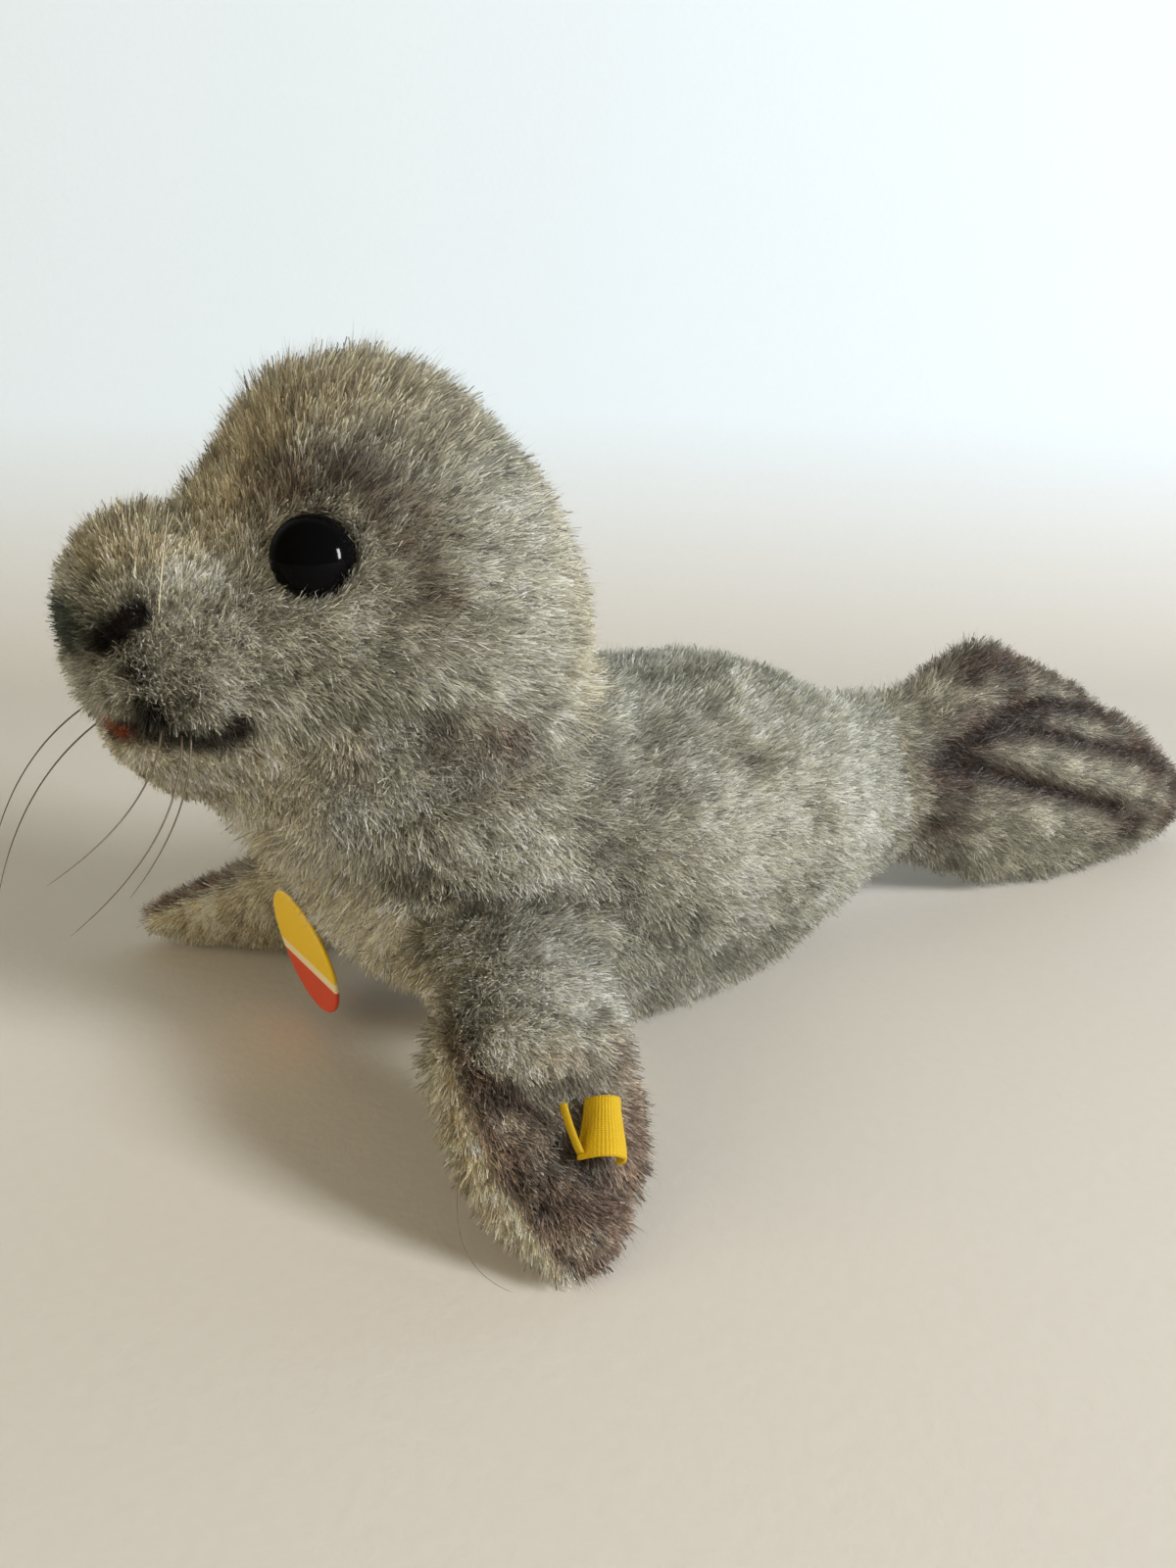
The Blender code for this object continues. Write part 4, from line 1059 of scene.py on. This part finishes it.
class SEAL_OT_flipper_fur(bpy.types.Operator):
    """Grow the two front flippers' pile"""

    bl_idname = "seal.flipper_fur"
    bl_label = "Flipper pile"

    def execute(self, context):
        fur = context.scene.seal_fur
        for node, name, seed in (
            ("front_flipper_left", "flipper_pile_left", 303),
            ("front_flipper_right", "flipper_pile_right", 404),
        ):
            grow(node, (name,), fur.flipper_hairs, fur.limb_pile, 0.85, comb_flipper, 1.2, 0.8, seed)
        return {"FINISHED"}


class SEAL_OT_fin_fur(bpy.types.Operator):
    """Grow the tail fin's pile"""

    bl_idname = "seal.fin_fur"
    bl_label = "Tail fin pile"

    def execute(self, context):
        fur = context.scene.seal_fur
        grow("tail_fin", ("fin_pile",), fur.fin_hairs, fur.limb_pile, 0.85, comb_fin, 1.4, 1.0, 505)
        return {"FINISHED"}


def basis_of(way):
    """Two directions square to a way and to each other."""
    first = unit(np.cross(way, (0.0, 0.0, 1.0)))
    return first, np.cross(way, first)


class SEAL_OT_eyes(bpy.types.Operator):
    """Add the two glossy domed eyes"""

    bl_idname = "seal.eyes"
    bl_label = "Eyes"

    def execute(self, context):
        trim = context.scene.seal_trim
        material = self.gloss(trim)
        for node, (place, look) in eye_frames().items():
            mesh = self.dome(node + "_dome", place, look, trim)
            add_piece(node + "_dome", mesh, material, "black_eye", node)
        return {"FINISHED"}

    def dome(self, name, place, look, trim):
        """An outline turned about the eye's axis: a flattened dome, a rounded edge and a shank.

        The dome's radius goes as the sine and its height as the cosine of one angle.
        """
        turn = np.linspace(0.02, math.pi / 2.0, 30)
        rim = np.linspace(0.0, math.pi / 2.0, 7)[1:]
        radius = np.concatenate((
            trim.eye_radius * np.sin(turn),
            trim.eye_radius - 0.6 * (1.0 - np.cos(rim)),
            (1.5, 1.5, 0.05),
        ))
        height = np.concatenate((trim.eye_dome * np.cos(turn), -1.2 * np.sin(rim), (-1.2, -5.2, -5.2)))
        spin = np.linspace(0.0, 2.0 * math.pi, 72, endpoint=False)
        first, second = basis_of(look)
        ring = np.cos(spin)[None, :, None] * first + np.sin(spin)[None, :, None] * second
        points = place + ring * radius[:, None, None] + look * height[:, None, None]
        rows = len(radius)
        faces = tube_faces(rows, 72)
        mesh = bpy.data.meshes.new(name)
        caps = [tuple(range(72))[::-1], tuple(range((rows - 1) * 72, rows * 72))]
        mesh.from_pydata(to_frame(points.reshape(-1, 3)).tolist(), [], faces.tolist() + caps)
        work = bmesh.new()
        work.from_mesh(mesh)
        bmesh.ops.recalc_face_normals(work, faces=work.faces)
        work.to_mesh(mesh)
        work.free()
        shade_smooth(mesh)
        edge = np.repeat(np.concatenate((np.zeros(28), (0.6,), np.ones(rows - 29))), 72)
        tint = blend(np.tile(trim.eye, (len(edge), 1)), np.tile(trim.eye_rim, (len(edge), 1)), 0.5 * edge)
        set_colour(mesh, "tint", tint)
        return mesh

    def gloss(self, trim):
        """Black moulded eye: a hard clear coat over the dome, with faint wipe marks."""
        material, shader, add, join = new_material("eye_gloss")
        tint = add("ShaderNodeAttribute")
        tint.attribute_name = "tint"
        _, wipes = place_nodes(add, join, 260.0)
        join(tint.outputs["Color"], shader.inputs["Base Color"])
        join(ranged(add, join, wipes.outputs["Fac"], 0.06, 0.16), shader.inputs["Roughness"])
        shader.inputs["Specular IOR Level"].default_value = 0.03
        shader.inputs["Coat Weight"].default_value = 0.04
        shader.inputs["Coat Roughness"].default_value = 0.03
        bump = add("ShaderNodeBump", Strength=0.03, Distance=0.0002)
        join(wipes.outputs["Fac"], bump.inputs["Height"])
        join(bump.outputs["Normal"], shader.inputs["Normal"])
        return material


def tapered(name, path, radius):
    """Closed tube along a path whose radius shrinks to a point as the root of what is left."""
    steps = len(path)
    along = unit(np.gradient(path, axis=0))
    first = unit(np.cross(along, (0.31, 0.22, 0.93)))
    second = np.cross(along, first)
    spin = np.linspace(0.0, 2.0 * math.pi, 8, endpoint=False)
    ring = np.cos(spin)[None, :, None] * first[:, None, :] + np.sin(spin)[None, :, None] * second[:, None, :]
    share = np.linspace(0.0, 1.0, steps)
    thick = radius * (0.12 + 0.88 * np.sqrt(1.0 - share))
    points = path[:, None, :] + ring * thick[:, None, None]
    faces = tube_faces(steps, 8).tolist()
    caps = [tuple(range(8))[::-1], tuple(range((steps - 1) * 8, steps * 8))]
    mesh = bpy.data.meshes.new(name)
    mesh.from_pydata(to_frame(points.reshape(-1, 3)).tolist(), [], faces + caps)
    work = bmesh.new()
    work.from_mesh(mesh)
    bmesh.ops.recalc_face_normals(work, faces=work.faces)
    work.to_mesh(mesh)
    work.free()
    shade_smooth(mesh)
    return mesh


def bow(start, middle, end, steps):
    """Path of a bent hair: the squares of the two shares weigh its ends, and their product its middle."""
    share = np.linspace(0.0, 1.0, steps)[:, None]
    return start * (1.0 - share) ** 2 + 2.0 * middle * share * (1.0 - share) + end * share ** 2


class SEAL_OT_whiskers(bpy.types.Operator):
    """Add the nylon whiskers and one stray hair on the flipper"""

    bl_idname = "seal.whiskers"
    bl_label = "Whiskers"

    def execute(self, context):
        trim = context.scene.seal_trim
        material, shader, add, join = new_material("whisker_nylon")
        _, streaks = place_nodes(add, join, 320.0)
        low, high = np.array(trim.whisker) * 0.7, np.array(trim.whisker) * 1.35
        ramp = add("ShaderNodeMix")
        ramp.data_type = "RGBA"
        ramp.inputs["A"].default_value = (*low, 1.0)
        ramp.inputs["B"].default_value = (*high, 1.0)
        ramp.inputs[6].default_value = (*low, 1.0)
        ramp.inputs[7].default_value = (*high, 1.0)
        join(streaks.outputs["Fac"], ramp.inputs[0])
        join(ramp.outputs[2], shader.inputs["Base Color"])
        join(ranged(add, join, streaks.outputs["Fac"], 0.25, 0.45), shader.inputs["Roughness"])
        surface = BVHTree.FromPolygons(*self.cad_surface())
        for node, (side, root_at, tip, bend) in WHISKERS.items():
            far = Vector(to_frame((side * 200.0, *root_at)))
            place, normal, _, _ = surface.ray_cast(far, Vector((-side, 0.0, 0.0)))
            start = to_plan(np.array(place)) - 1.5 * np.array(normal)
            end = np.array(tip)
            middle = (start + end) / 2.0 + bend
            mesh = tapered(node + "_hair", bow(start, middle, end, 28), trim.whisker_radius)
            add_piece(node + "_hair", mesh, material, "nylon", node)
        stray = bow(np.array((53.0, 1.0, 21.0)), np.array((58.0, -7.0, 8.0)), np.array((64.0, 1.5, 4.0)), 24)
        add_piece("stray_hair", tapered("stray_hair", stray, 0.07), material, "nylon")
        loose = bow(np.array((15.0, -21.0, 84.0)), np.array((17.0, -20.5, 90.0)), np.array((8.0, -16.5, 97.0)), 20)
        mesh = tapered("muzzle_hair", loose, 0.08)
        normals = mesh_arrays(mesh)[1]
        set_colour(mesh, "tint", np.tile(context.scene.seal_fur.cream, (len(normals), 1)))
        layer = mesh.attributes.new("lie", "FLOAT_VECTOR", "POINT")
        layer.data.foreach_set("vector", normals.astype(np.float32).ravel())
        add_piece("muzzle_hair", mesh, hair_material("loose_hair"), "head_plush")
        return {"FINISHED"}

    def cad_surface(self):
        """Points and triangles of the head's solid."""
        points, _, triangles = mesh_arrays(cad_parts["head"].data)
        return [tuple(point) for point in points], triangles.tolist()


class SEAL_OT_tag(bpy.types.Operator):
    """Add the round printed card tag on the chest"""

    bl_idname = "seal.tag"
    bl_label = "Chest tag"

    def execute(self, context):
        trim = context.scene.seal_trim
        low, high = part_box("chest_tag")
        place = to_plan((np.array(low) + np.array(high)) / 2.0)
        lean, turned = math.radians(10.0), math.radians(4.0)
        pose = Matrix.Rotation(turned, 3, "Z") @ Matrix.Rotation(lean, 3, "X")
        wide, front, tall = (np.array(pose @ Vector(way)) for way in ((1, 0, 0), (0, -1, 0), (0, 0, 1)))
        mesh = self.disc(trim, place, wide, front, tall)
        add_piece("chest_tag_card", mesh, self.print_material(trim), "card", "chest_tag")
        return {"FINISHED"}

    def disc(self, trim, place, wide, front, tall):
        """Disc of rings: front face, rounded edge and back face, slightly bowed.

        Radius and depth follow one outline; the bow goes as the square of the height on the disc.
        """
        half = trim.tag_thickness / 2.0
        face = np.linspace(0.02, trim.tag_radius - half, 16)
        edge = np.linspace(0.0, math.pi, 9)[1:-1]
        radius = np.concatenate((face, trim.tag_radius - half + half * np.sin(edge), face[::-1]))
        depth = np.concatenate((np.full(16, half), half * np.cos(edge), np.full(16, -half)))
        spin = np.linspace(0.0, 2.0 * math.pi, 96, endpoint=False)
        across = radius[:, None] * np.sin(spin)
        up = radius[:, None] * np.cos(spin)
        bowed = 0.35 * (up / trim.tag_radius) ** 2 - 0.15
        out = depth[:, None] + bowed
        points = place + across[..., None] * wide + up[..., None] * tall + out[..., None] * front
        rows = len(radius)
        faces = tube_faces(rows, 96)
        mesh = bpy.data.meshes.new("chest_tag_card")
        caps = [tuple(range(96))[::-1], tuple(range((rows - 1) * 96, rows * 96))]
        mesh.from_pydata(to_frame(points.reshape(-1, 3)).tolist(), [], faces.tolist() + caps)
        work = bmesh.new()
        work.from_mesh(mesh)
        bmesh.ops.recalc_face_normals(work, faces=work.faces)
        work.to_mesh(mesh)
        work.free()
        shade_smooth(mesh)
        flat = np.stack((across / trim.tag_radius, up / trim.tag_radius), axis=-1).reshape(-1, 2)
        shown = np.repeat(np.where(depth > -0.3 * half, 1.0, -1.0), 96)
        spread = np.column_stack((0.25 + 0.235 * flat[:, 0] + np.where(shown > 0, 0.0, 0.5), 0.5 + 0.45 * flat[:, 1]))
        loops = np.empty(len(mesh.loops), dtype=np.int32)
        mesh.loops.foreach_get("vertex_index", loops)
        set_map(mesh, spread[loops])
        return mesh

    def print_material(self, trim):
        """Printed card: a yellow ground, a cream band and a red lower part, on slightly uneven stock."""
        material, shader, add, join = new_material("tag_print")
        chart = add("ShaderNodeUVMap")
        chart.uv_map = "OFBake"
        split = add("ShaderNodeSeparateXYZ")
        join(chart.outputs["UV"], split.inputs["Vector"])
        ramp = add("ShaderNodeValToRGB")
        ramp.color_ramp.interpolation = "CONSTANT"
        bands = ((0.0, trim.tag_red), (0.36, trim.tag_cream), (0.44, trim.tag_yellow))
        first = ramp.color_ramp.elements[0]
        first.position, first.color = 0.0, (*bands[0][1], 1.0)
        second = ramp.color_ramp.elements[1]
        second.position, second.color = bands[1][0], (*bands[1][1], 1.0)
        third = ramp.color_ramp.elements.new(bands[2][0])
        third.color = (*bands[2][1], 1.0)
        join(split.outputs["Y"], ramp.inputs["Fac"])
        _, stock = place_nodes(add, join, 900.0)
        level = ranged(add, join, stock.outputs["Fac"], 0.9, 1.06)
        shaded = add("ShaderNodeVectorMath")
        shaded.operation = "SCALE"
        join(ramp.outputs["Color"], shaded.inputs[0])
        join(level, shaded.inputs["Scale"])
        join(shaded.outputs["Vector"], shader.inputs["Base Color"])
        join(ranged(add, join, stock.outputs["Fac"], 0.35, 0.5), shader.inputs["Roughness"])
        bump = add("ShaderNodeBump", Strength=0.15, Distance=0.0002)
        join(stock.outputs["Fac"], bump.inputs["Height"])
        join(bump.outputs["Normal"], shader.inputs["Normal"])
        return material


class SEAL_OT_ribbon(bpy.types.Operator):
    """Add the woven ribbon label on the left flipper"""

    bl_idname = "seal.ribbon"
    bl_label = "Ribbon label"

    def execute(self, context):
        trim = context.scene.seal_trim
        place, span, length, rise = self.arch_frame()
        material = self.weave(trim)
        mesh = self.arch("ribbon_label_arch", trim, place, span, length, rise)
        add_piece("ribbon_label_arch", mesh, material, "ribbon_weave", "ribbon_label")
        strip = self.strip("ribbon_label_end", trim, place, span, length, rise)
        add_piece("ribbon_label_end", strip, material, "ribbon_weave")
        return {"FINISHED"}

    def arch_frame(self):
        """Middle of the arch's foot and its three ways, from the spread of its CAD points.

        Its points spread most along its length, less across its span and least in its rise.
        """
        points = to_plan(np.unique(np.round(mesh_arrays(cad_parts["ribbon_label"].data)[0], 6), axis=0))
        middle = points.mean(axis=0)
        _, ways = np.linalg.eigh(np.cov((points - middle).T))
        rise, span, length = ways[:, 0], ways[:, 1], ways[:, 2]
        rise = rise * np.sign(rise @ (1.0, 0.0, 1.0))
        length = length * np.sign(length @ (1.0, 0.0, -1.0))
        span = np.cross(length, rise)
        foot = ((points - middle) @ rise).min()
        aside = (points - middle) @ span
        along = (points - middle) @ length
        centre = middle + span * (aside.max() + aside.min()) / 2.0 + length * (along.max() + along.min()) / 2.0
        return centre + rise * foot, span, length, rise

    def arch(self, name, trim, place, span, length, rise):
        """Closed band: its outline runs round the outer arch and back along the inner one.

        Across goes as the cosine and up as the sine of an angle, and the outline is carried along the
        ribbon's width, a little wider at its open end.
        """
        turn = np.linspace(0.0, math.pi, 41)
        thick = trim.ribbon_thickness
        across = np.concatenate((
            (trim.ribbon_span / 2.0 + thick) * np.cos(turn), trim.ribbon_span / 2.0 * np.cos(turn[::-1]),
        ))
        up = np.concatenate(((trim.ribbon_rise + thick) * np.sin(turn), trim.ribbon_rise * np.sin(turn[::-1])))
        along = np.linspace(-trim.ribbon_width / 2.0, trim.ribbon_width / 2.0, 25)
        flare = 0.8 + 0.26 * ease(-trim.ribbon_width / 2.0, trim.ribbon_width / 2.0, along)
        rows = np.column_stack((across, up))
        points = (
            place
            + rows[None, :, 0, None] * flare[:, None, None] * span
            + rows[None, :, 1, None] * flare[:, None, None] * rise
            + along[:, None, None] * length
        )
        return self.band(name, points)

    def strip(self, name, trim, place, span, length, rise):
        """Short flat end of the ribbon beside the arch, a thin strip that curls at its tip."""
        share = np.linspace(0.0, 1.0, 25)
        start = place + span * (trim.ribbon_span / 2.0 + 0.8) + length * 3.4 + rise * 0.2
        path = start - share[:, None] * (length * 5.6) + share[:, None] * span * 3.4
        path = path + (0.5 + 1.3 * share ** 2)[:, None] * rise
        thick = trim.ribbon_thickness * 0.7
        outline = np.array(((0.0, 0.0), (0.0, 1.6), (thick, 1.6), (thick, 0.0)))
        points = path[:, None, :] + outline[None, :, 0, None] * span + outline[None, :, 1, None] * rise
        return self.band(name, points)

    def band(self, name, points):
        """Mesh of outlines carried along a path, closed at both ends, with a map that follows it."""
        rows, columns = points.shape[:2]
        faces = tube_faces(rows, columns)
        mesh = bpy.data.meshes.new(name)
        caps = [tuple(range(columns))[::-1], tuple(range((rows - 1) * columns, rows * columns))]
        mesh.from_pydata(to_frame(points.reshape(-1, 3)).tolist(), [], faces.tolist() + caps)
        work = bmesh.new()
        work.from_mesh(mesh)
        bmesh.ops.recalc_face_normals(work, faces=work.faces)
        work.to_mesh(mesh)
        work.free()
        mesh.shade_smooth()
        around = np.tile(np.linspace(0.02, 0.98, columns), rows)
        along = np.repeat(np.linspace(0.02, 0.98, rows), columns)
        loops = np.empty(len(mesh.loops), dtype=np.int32)
        mesh.loops.foreach_get("vertex_index", loops)
        set_map(mesh, np.column_stack((around, along))[loops])
        return mesh

    def weave(self, trim):
        """Woven ribbon: crossing ribs of warp and weft as colour and bump on the band's own map."""
        material, shader, add, join = new_material("ribbon_weave_yellow")
        chart = add("ShaderNodeUVMap")
        chart.uv_map = "OFBake"
        warp = add("ShaderNodeTexWave", Scale=14.0, Distortion=0.6, Detail=1.0)
        warp.bands_direction = "X"
        weft = add("ShaderNodeTexWave", Scale=9.0, Distortion=0.6, Detail=1.0)
        weft.bands_direction = "Y"
        join(chart.outputs["UV"], warp.inputs["Vector"])
        join(chart.outputs["UV"], weft.inputs["Vector"])
        both = add("ShaderNodeMath")
        both.operation = "MULTIPLY"
        join(warp.outputs["Fac"], both.inputs[0])
        join(weft.outputs["Fac"], both.inputs[1])
        level = ranged(add, join, both.outputs["Value"], 0.72, 1.05)
        shaded = add("ShaderNodeVectorMath")
        shaded.operation = "SCALE"
        base = add("ShaderNodeRGB")
        base.outputs[0].default_value = (*trim.ribbon, 1.0)
        join(base.outputs[0], shaded.inputs[0])
        join(level, shaded.inputs["Scale"])
        join(shaded.outputs["Vector"], shader.inputs["Base Color"])
        join(ranged(add, join, both.outputs["Value"], 0.75, 0.55), shader.inputs["Roughness"])
        bump = add("ShaderNodeBump", Strength=0.6, Distance=0.0003)
        join(both.outputs["Value"], bump.inputs["Height"])
        join(bump.outputs["Normal"], shader.inputs["Normal"])
        return material


class SEAL_OT_stage(bpy.types.Operator):
    """Add the floor, the backdrop, the lamps and the camera"""

    bl_idname = "seal.stage"
    bl_label = "Stage"

    def execute(self, context):
        settings = context.scene.seal_stage
        self.sweep(settings)
        self.sky(context, settings)
        self.lamp("window", (0.80, 0.33, 0.51), 0.26, 0.26, settings.lamp_power, (0.98, 1.0, 1.0))
        self.lamp("bounce", (0.10, -0.80, 0.20), 0.9, 0.9, settings.lamp_power * 0.42, (1.0, 0.88, 0.64))
        self.lamp("catchlight", (0.38, 0.21, 0.18), 0.06, 0.16, 5.0, (1.0, 1.0, 1.0))
        bpy.data.objects["bounce"].visible_glossy = False
        self.aim("catchlight", "INCLUDE")
        self.aim("window", "EXCLUDE")
        self.camera(context)
        context.scene.view_settings.view_transform = "Standard"
        return {"FINISHED"}

    def sweep(self, settings):
        """Floor that turns up into a backdrop: a flat run, a quarter circle and a wall.

        It is one profile carried sideways, square to the camera's level line of sight.
        """
        bend = 0.16
        flat_end = 0.19
        turn = np.linspace(0.0, math.pi / 2.0, 33)
        run = np.concatenate((np.linspace(-3.0, flat_end, 12)[:-1], flat_end + bend * np.sin(turn), (flat_end + bend,)))
        rise = np.concatenate((np.zeros(11), bend * (1.0 - np.cos(turn)), (3.0,)))
        away = np.array((-math.sin(math.radians(58.0)), math.cos(math.radians(58.0)), 0.0))
        aside = np.array((math.cos(math.radians(58.0)), math.sin(math.radians(58.0)), 0.0))
        wide = np.linspace(-3.5, 3.5, 9)
        points = (
            run[:, None, None] * away + wide[None, :, None] * aside
            + rise[:, None, None] * np.array((0.0, 0.0, 1.0))
        )
        mesh = mesh_of("floor_sweep", points.reshape(-1, 3), tube_faces(len(run), 9, wrap=False)[:, ::-1])
        shade_smooth(mesh)
        floor = bpy.data.objects.new("floor_sweep", mesh)
        bpy.context.scene.collection.objects.link(floor)
        material, shader, add, join = new_material("floor_paper")
        where, grain = place_nodes(add, join, 420.0)
        split = add("ShaderNodeSeparateXYZ")
        join(where.outputs["Object"], split.inputs["Vector"])
        climb = add("ShaderNodeMapRange")
        climb.inputs["From Min"].default_value = 0.0
        climb.inputs["From Max"].default_value = 0.09
        join(split.outputs["Z"], climb.inputs["Value"])
        mix = add("ShaderNodeMix")
        mix.data_type = "RGBA"
        mix.inputs[6].default_value = (*settings.floor, 1.0)
        mix.inputs[7].default_value = (*settings.wall, 1.0)
        join(climb.outputs["Result"], mix.inputs[0])
        level = ranged(add, join, grain.outputs["Fac"], 0.97, 1.02)
        shaded = add("ShaderNodeVectorMath")
        shaded.operation = "SCALE"
        join(mix.outputs[2], shaded.inputs[0])
        join(level, shaded.inputs["Scale"])
        join(shaded.outputs["Vector"], shader.inputs["Base Color"])
        # Painted light: the backdrop glows for camera, glossy and transmission rays, more the higher it climbs.
        path = add("ShaderNodeLightPath")
        seen = path.outputs["Is Camera Ray"]
        for other in ("Is Glossy Ray", "Is Transmission Ray"):
            either = add("ShaderNodeMath")
            either.operation = "MAXIMUM"
            join(seen, either.inputs[0])
            join(path.outputs[other], either.inputs[1])
            seen = either.outputs["Value"]
        glow = add("ShaderNodeMath")
        glow.operation = "MULTIPLY"
        join(ranged(add, join, climb.outputs["Result"], 0.0, settings.wall_glow), glow.inputs[0])
        join(seen, glow.inputs[1])
        shader.inputs["Emission Color"].default_value = (0.94, 0.98, 1.0, 1.0)
        join(glow.outputs["Value"], shader.inputs["Emission Strength"])
        shader.inputs["Roughness"].default_value = 0.9
        bump = add("ShaderNodeBump", Strength=0.12, Distance=0.0008)
        join(grain.outputs["Fac"], bump.inputs["Height"])
        join(bump.outputs["Normal"], shader.inputs["Normal"])
        mesh.materials.append(material)

    def sky(self, context, settings):
        """Even pale light from all round."""
        world = bpy.data.worlds.new("pale_room")
        world.use_nodes = True
        back = world.node_tree.nodes["Background"]
        back.inputs["Color"].default_value = (1.0, 0.85, 0.58, 1.0)
        back.inputs["Strength"].default_value = settings.sky_level
        context.scene.world = world

    def aim(self, lamp, choice):
        """Lets a lamp light the two eyes alone, or all but them."""
        eyes = bpy.data.collections.new(lamp + "_eyes")
        for name in ("eye_left_dome", "eye_right_dome"):
            eyes.objects.link(bpy.data.objects[name])
        for entry in eyes.collection_objects:
            entry.light_linking.link_state = choice
        bpy.data.objects[lamp].light_linking.receiver_collection = eyes

    def lamp(self, name, place, wide, tall, power, tint):
        """Soft lamp turned to the seal."""
        data = bpy.data.lights.new(name, "AREA")
        data.shape = "RECTANGLE"
        data.size = wide
        data.size_y = tall
        data.energy = power
        data.color = tint
        lamp = bpy.data.objects.new(name, data)
        bpy.context.scene.collection.objects.link(lamp)
        lamp.location = place
        lamp.rotation_euler = (Vector((0.0, 0.0, 0.04)) - Vector(place)).to_track_quat("-Z", "Y").to_euler()

    def camera(self, context):
        """Camera at the photograph's place, turn and lens."""
        data = bpy.data.cameras.new("photo_camera")
        data.sensor_width = 36.0
        data.lens = 36.0 * 1203.0 / 1600.0
        data.clip_start = 0.01
        data.clip_end = 20.0
        camera = bpy.data.objects.new("photo_camera", data)
        context.scene.collection.objects.link(camera)
        turned, down = math.radians(58.0), math.radians(20.0)
        look = Vector((-math.sin(turned) * math.cos(down), math.cos(turned) * math.cos(down), -math.sin(down)))
        camera.location = to_frame((168.5, -53.0, 115.0))
        camera.rotation_euler = look.to_track_quat("-Z", "Y").to_euler()
        context.scene.camera = camera


OPERATORS = (
    SEAL_OT_skins,
    SEAL_OT_torso_fur,
    SEAL_OT_head_fur,
    SEAL_OT_flipper_fur,
    SEAL_OT_fin_fur,
    SEAL_OT_eyes,
    SEAL_OT_whiskers,
    SEAL_OT_tag,
    SEAL_OT_ribbon,
    SEAL_OT_stage,
)
GROUPS = {"seal_skin": SealSkin, "seal_fur": SealFur, "seal_trim": SealTrim, "seal_stage": SealStage}


class SEAL_PT_dressing(bpy.types.Panel):
    """Sizes, colours and steps of the plush seal"""

    bl_idname = "SEAL_PT_dressing"
    bl_label = "Plush seal"
    bl_space_type = "VIEW_3D"
    bl_region_type = "UI"
    bl_category = "Seal"

    def draw(self, context):
        for key, group in GROUPS.items():
            box = self.layout.box()
            for value in group.__annotations__:
                box.prop(getattr(context.scene, key), value)
        for operator in OPERATORS:
            self.layout.operator(operator.bl_idname)


def register():
    for kind in (*GROUPS.values(), *OPERATORS, SEAL_PT_dressing):
        bpy.utils.register_class(kind)
    for key, group in GROUPS.items():
        setattr(bpy.types.Scene, key, PointerProperty(type=group))


def unregister():
    for key in GROUPS:
        delattr(bpy.types.Scene, key)
    for kind in (SEAL_PT_dressing, *reversed(OPERATORS), *reversed(tuple(GROUPS.values()))):
        bpy.utils.unregister_class(kind)


def main():
    register()
    for operator in OPERATORS:
        name = operator.bl_idname.split(".")[1]
        getattr(bpy.ops.seal, name)()


if __name__ == "__main__":
    main()
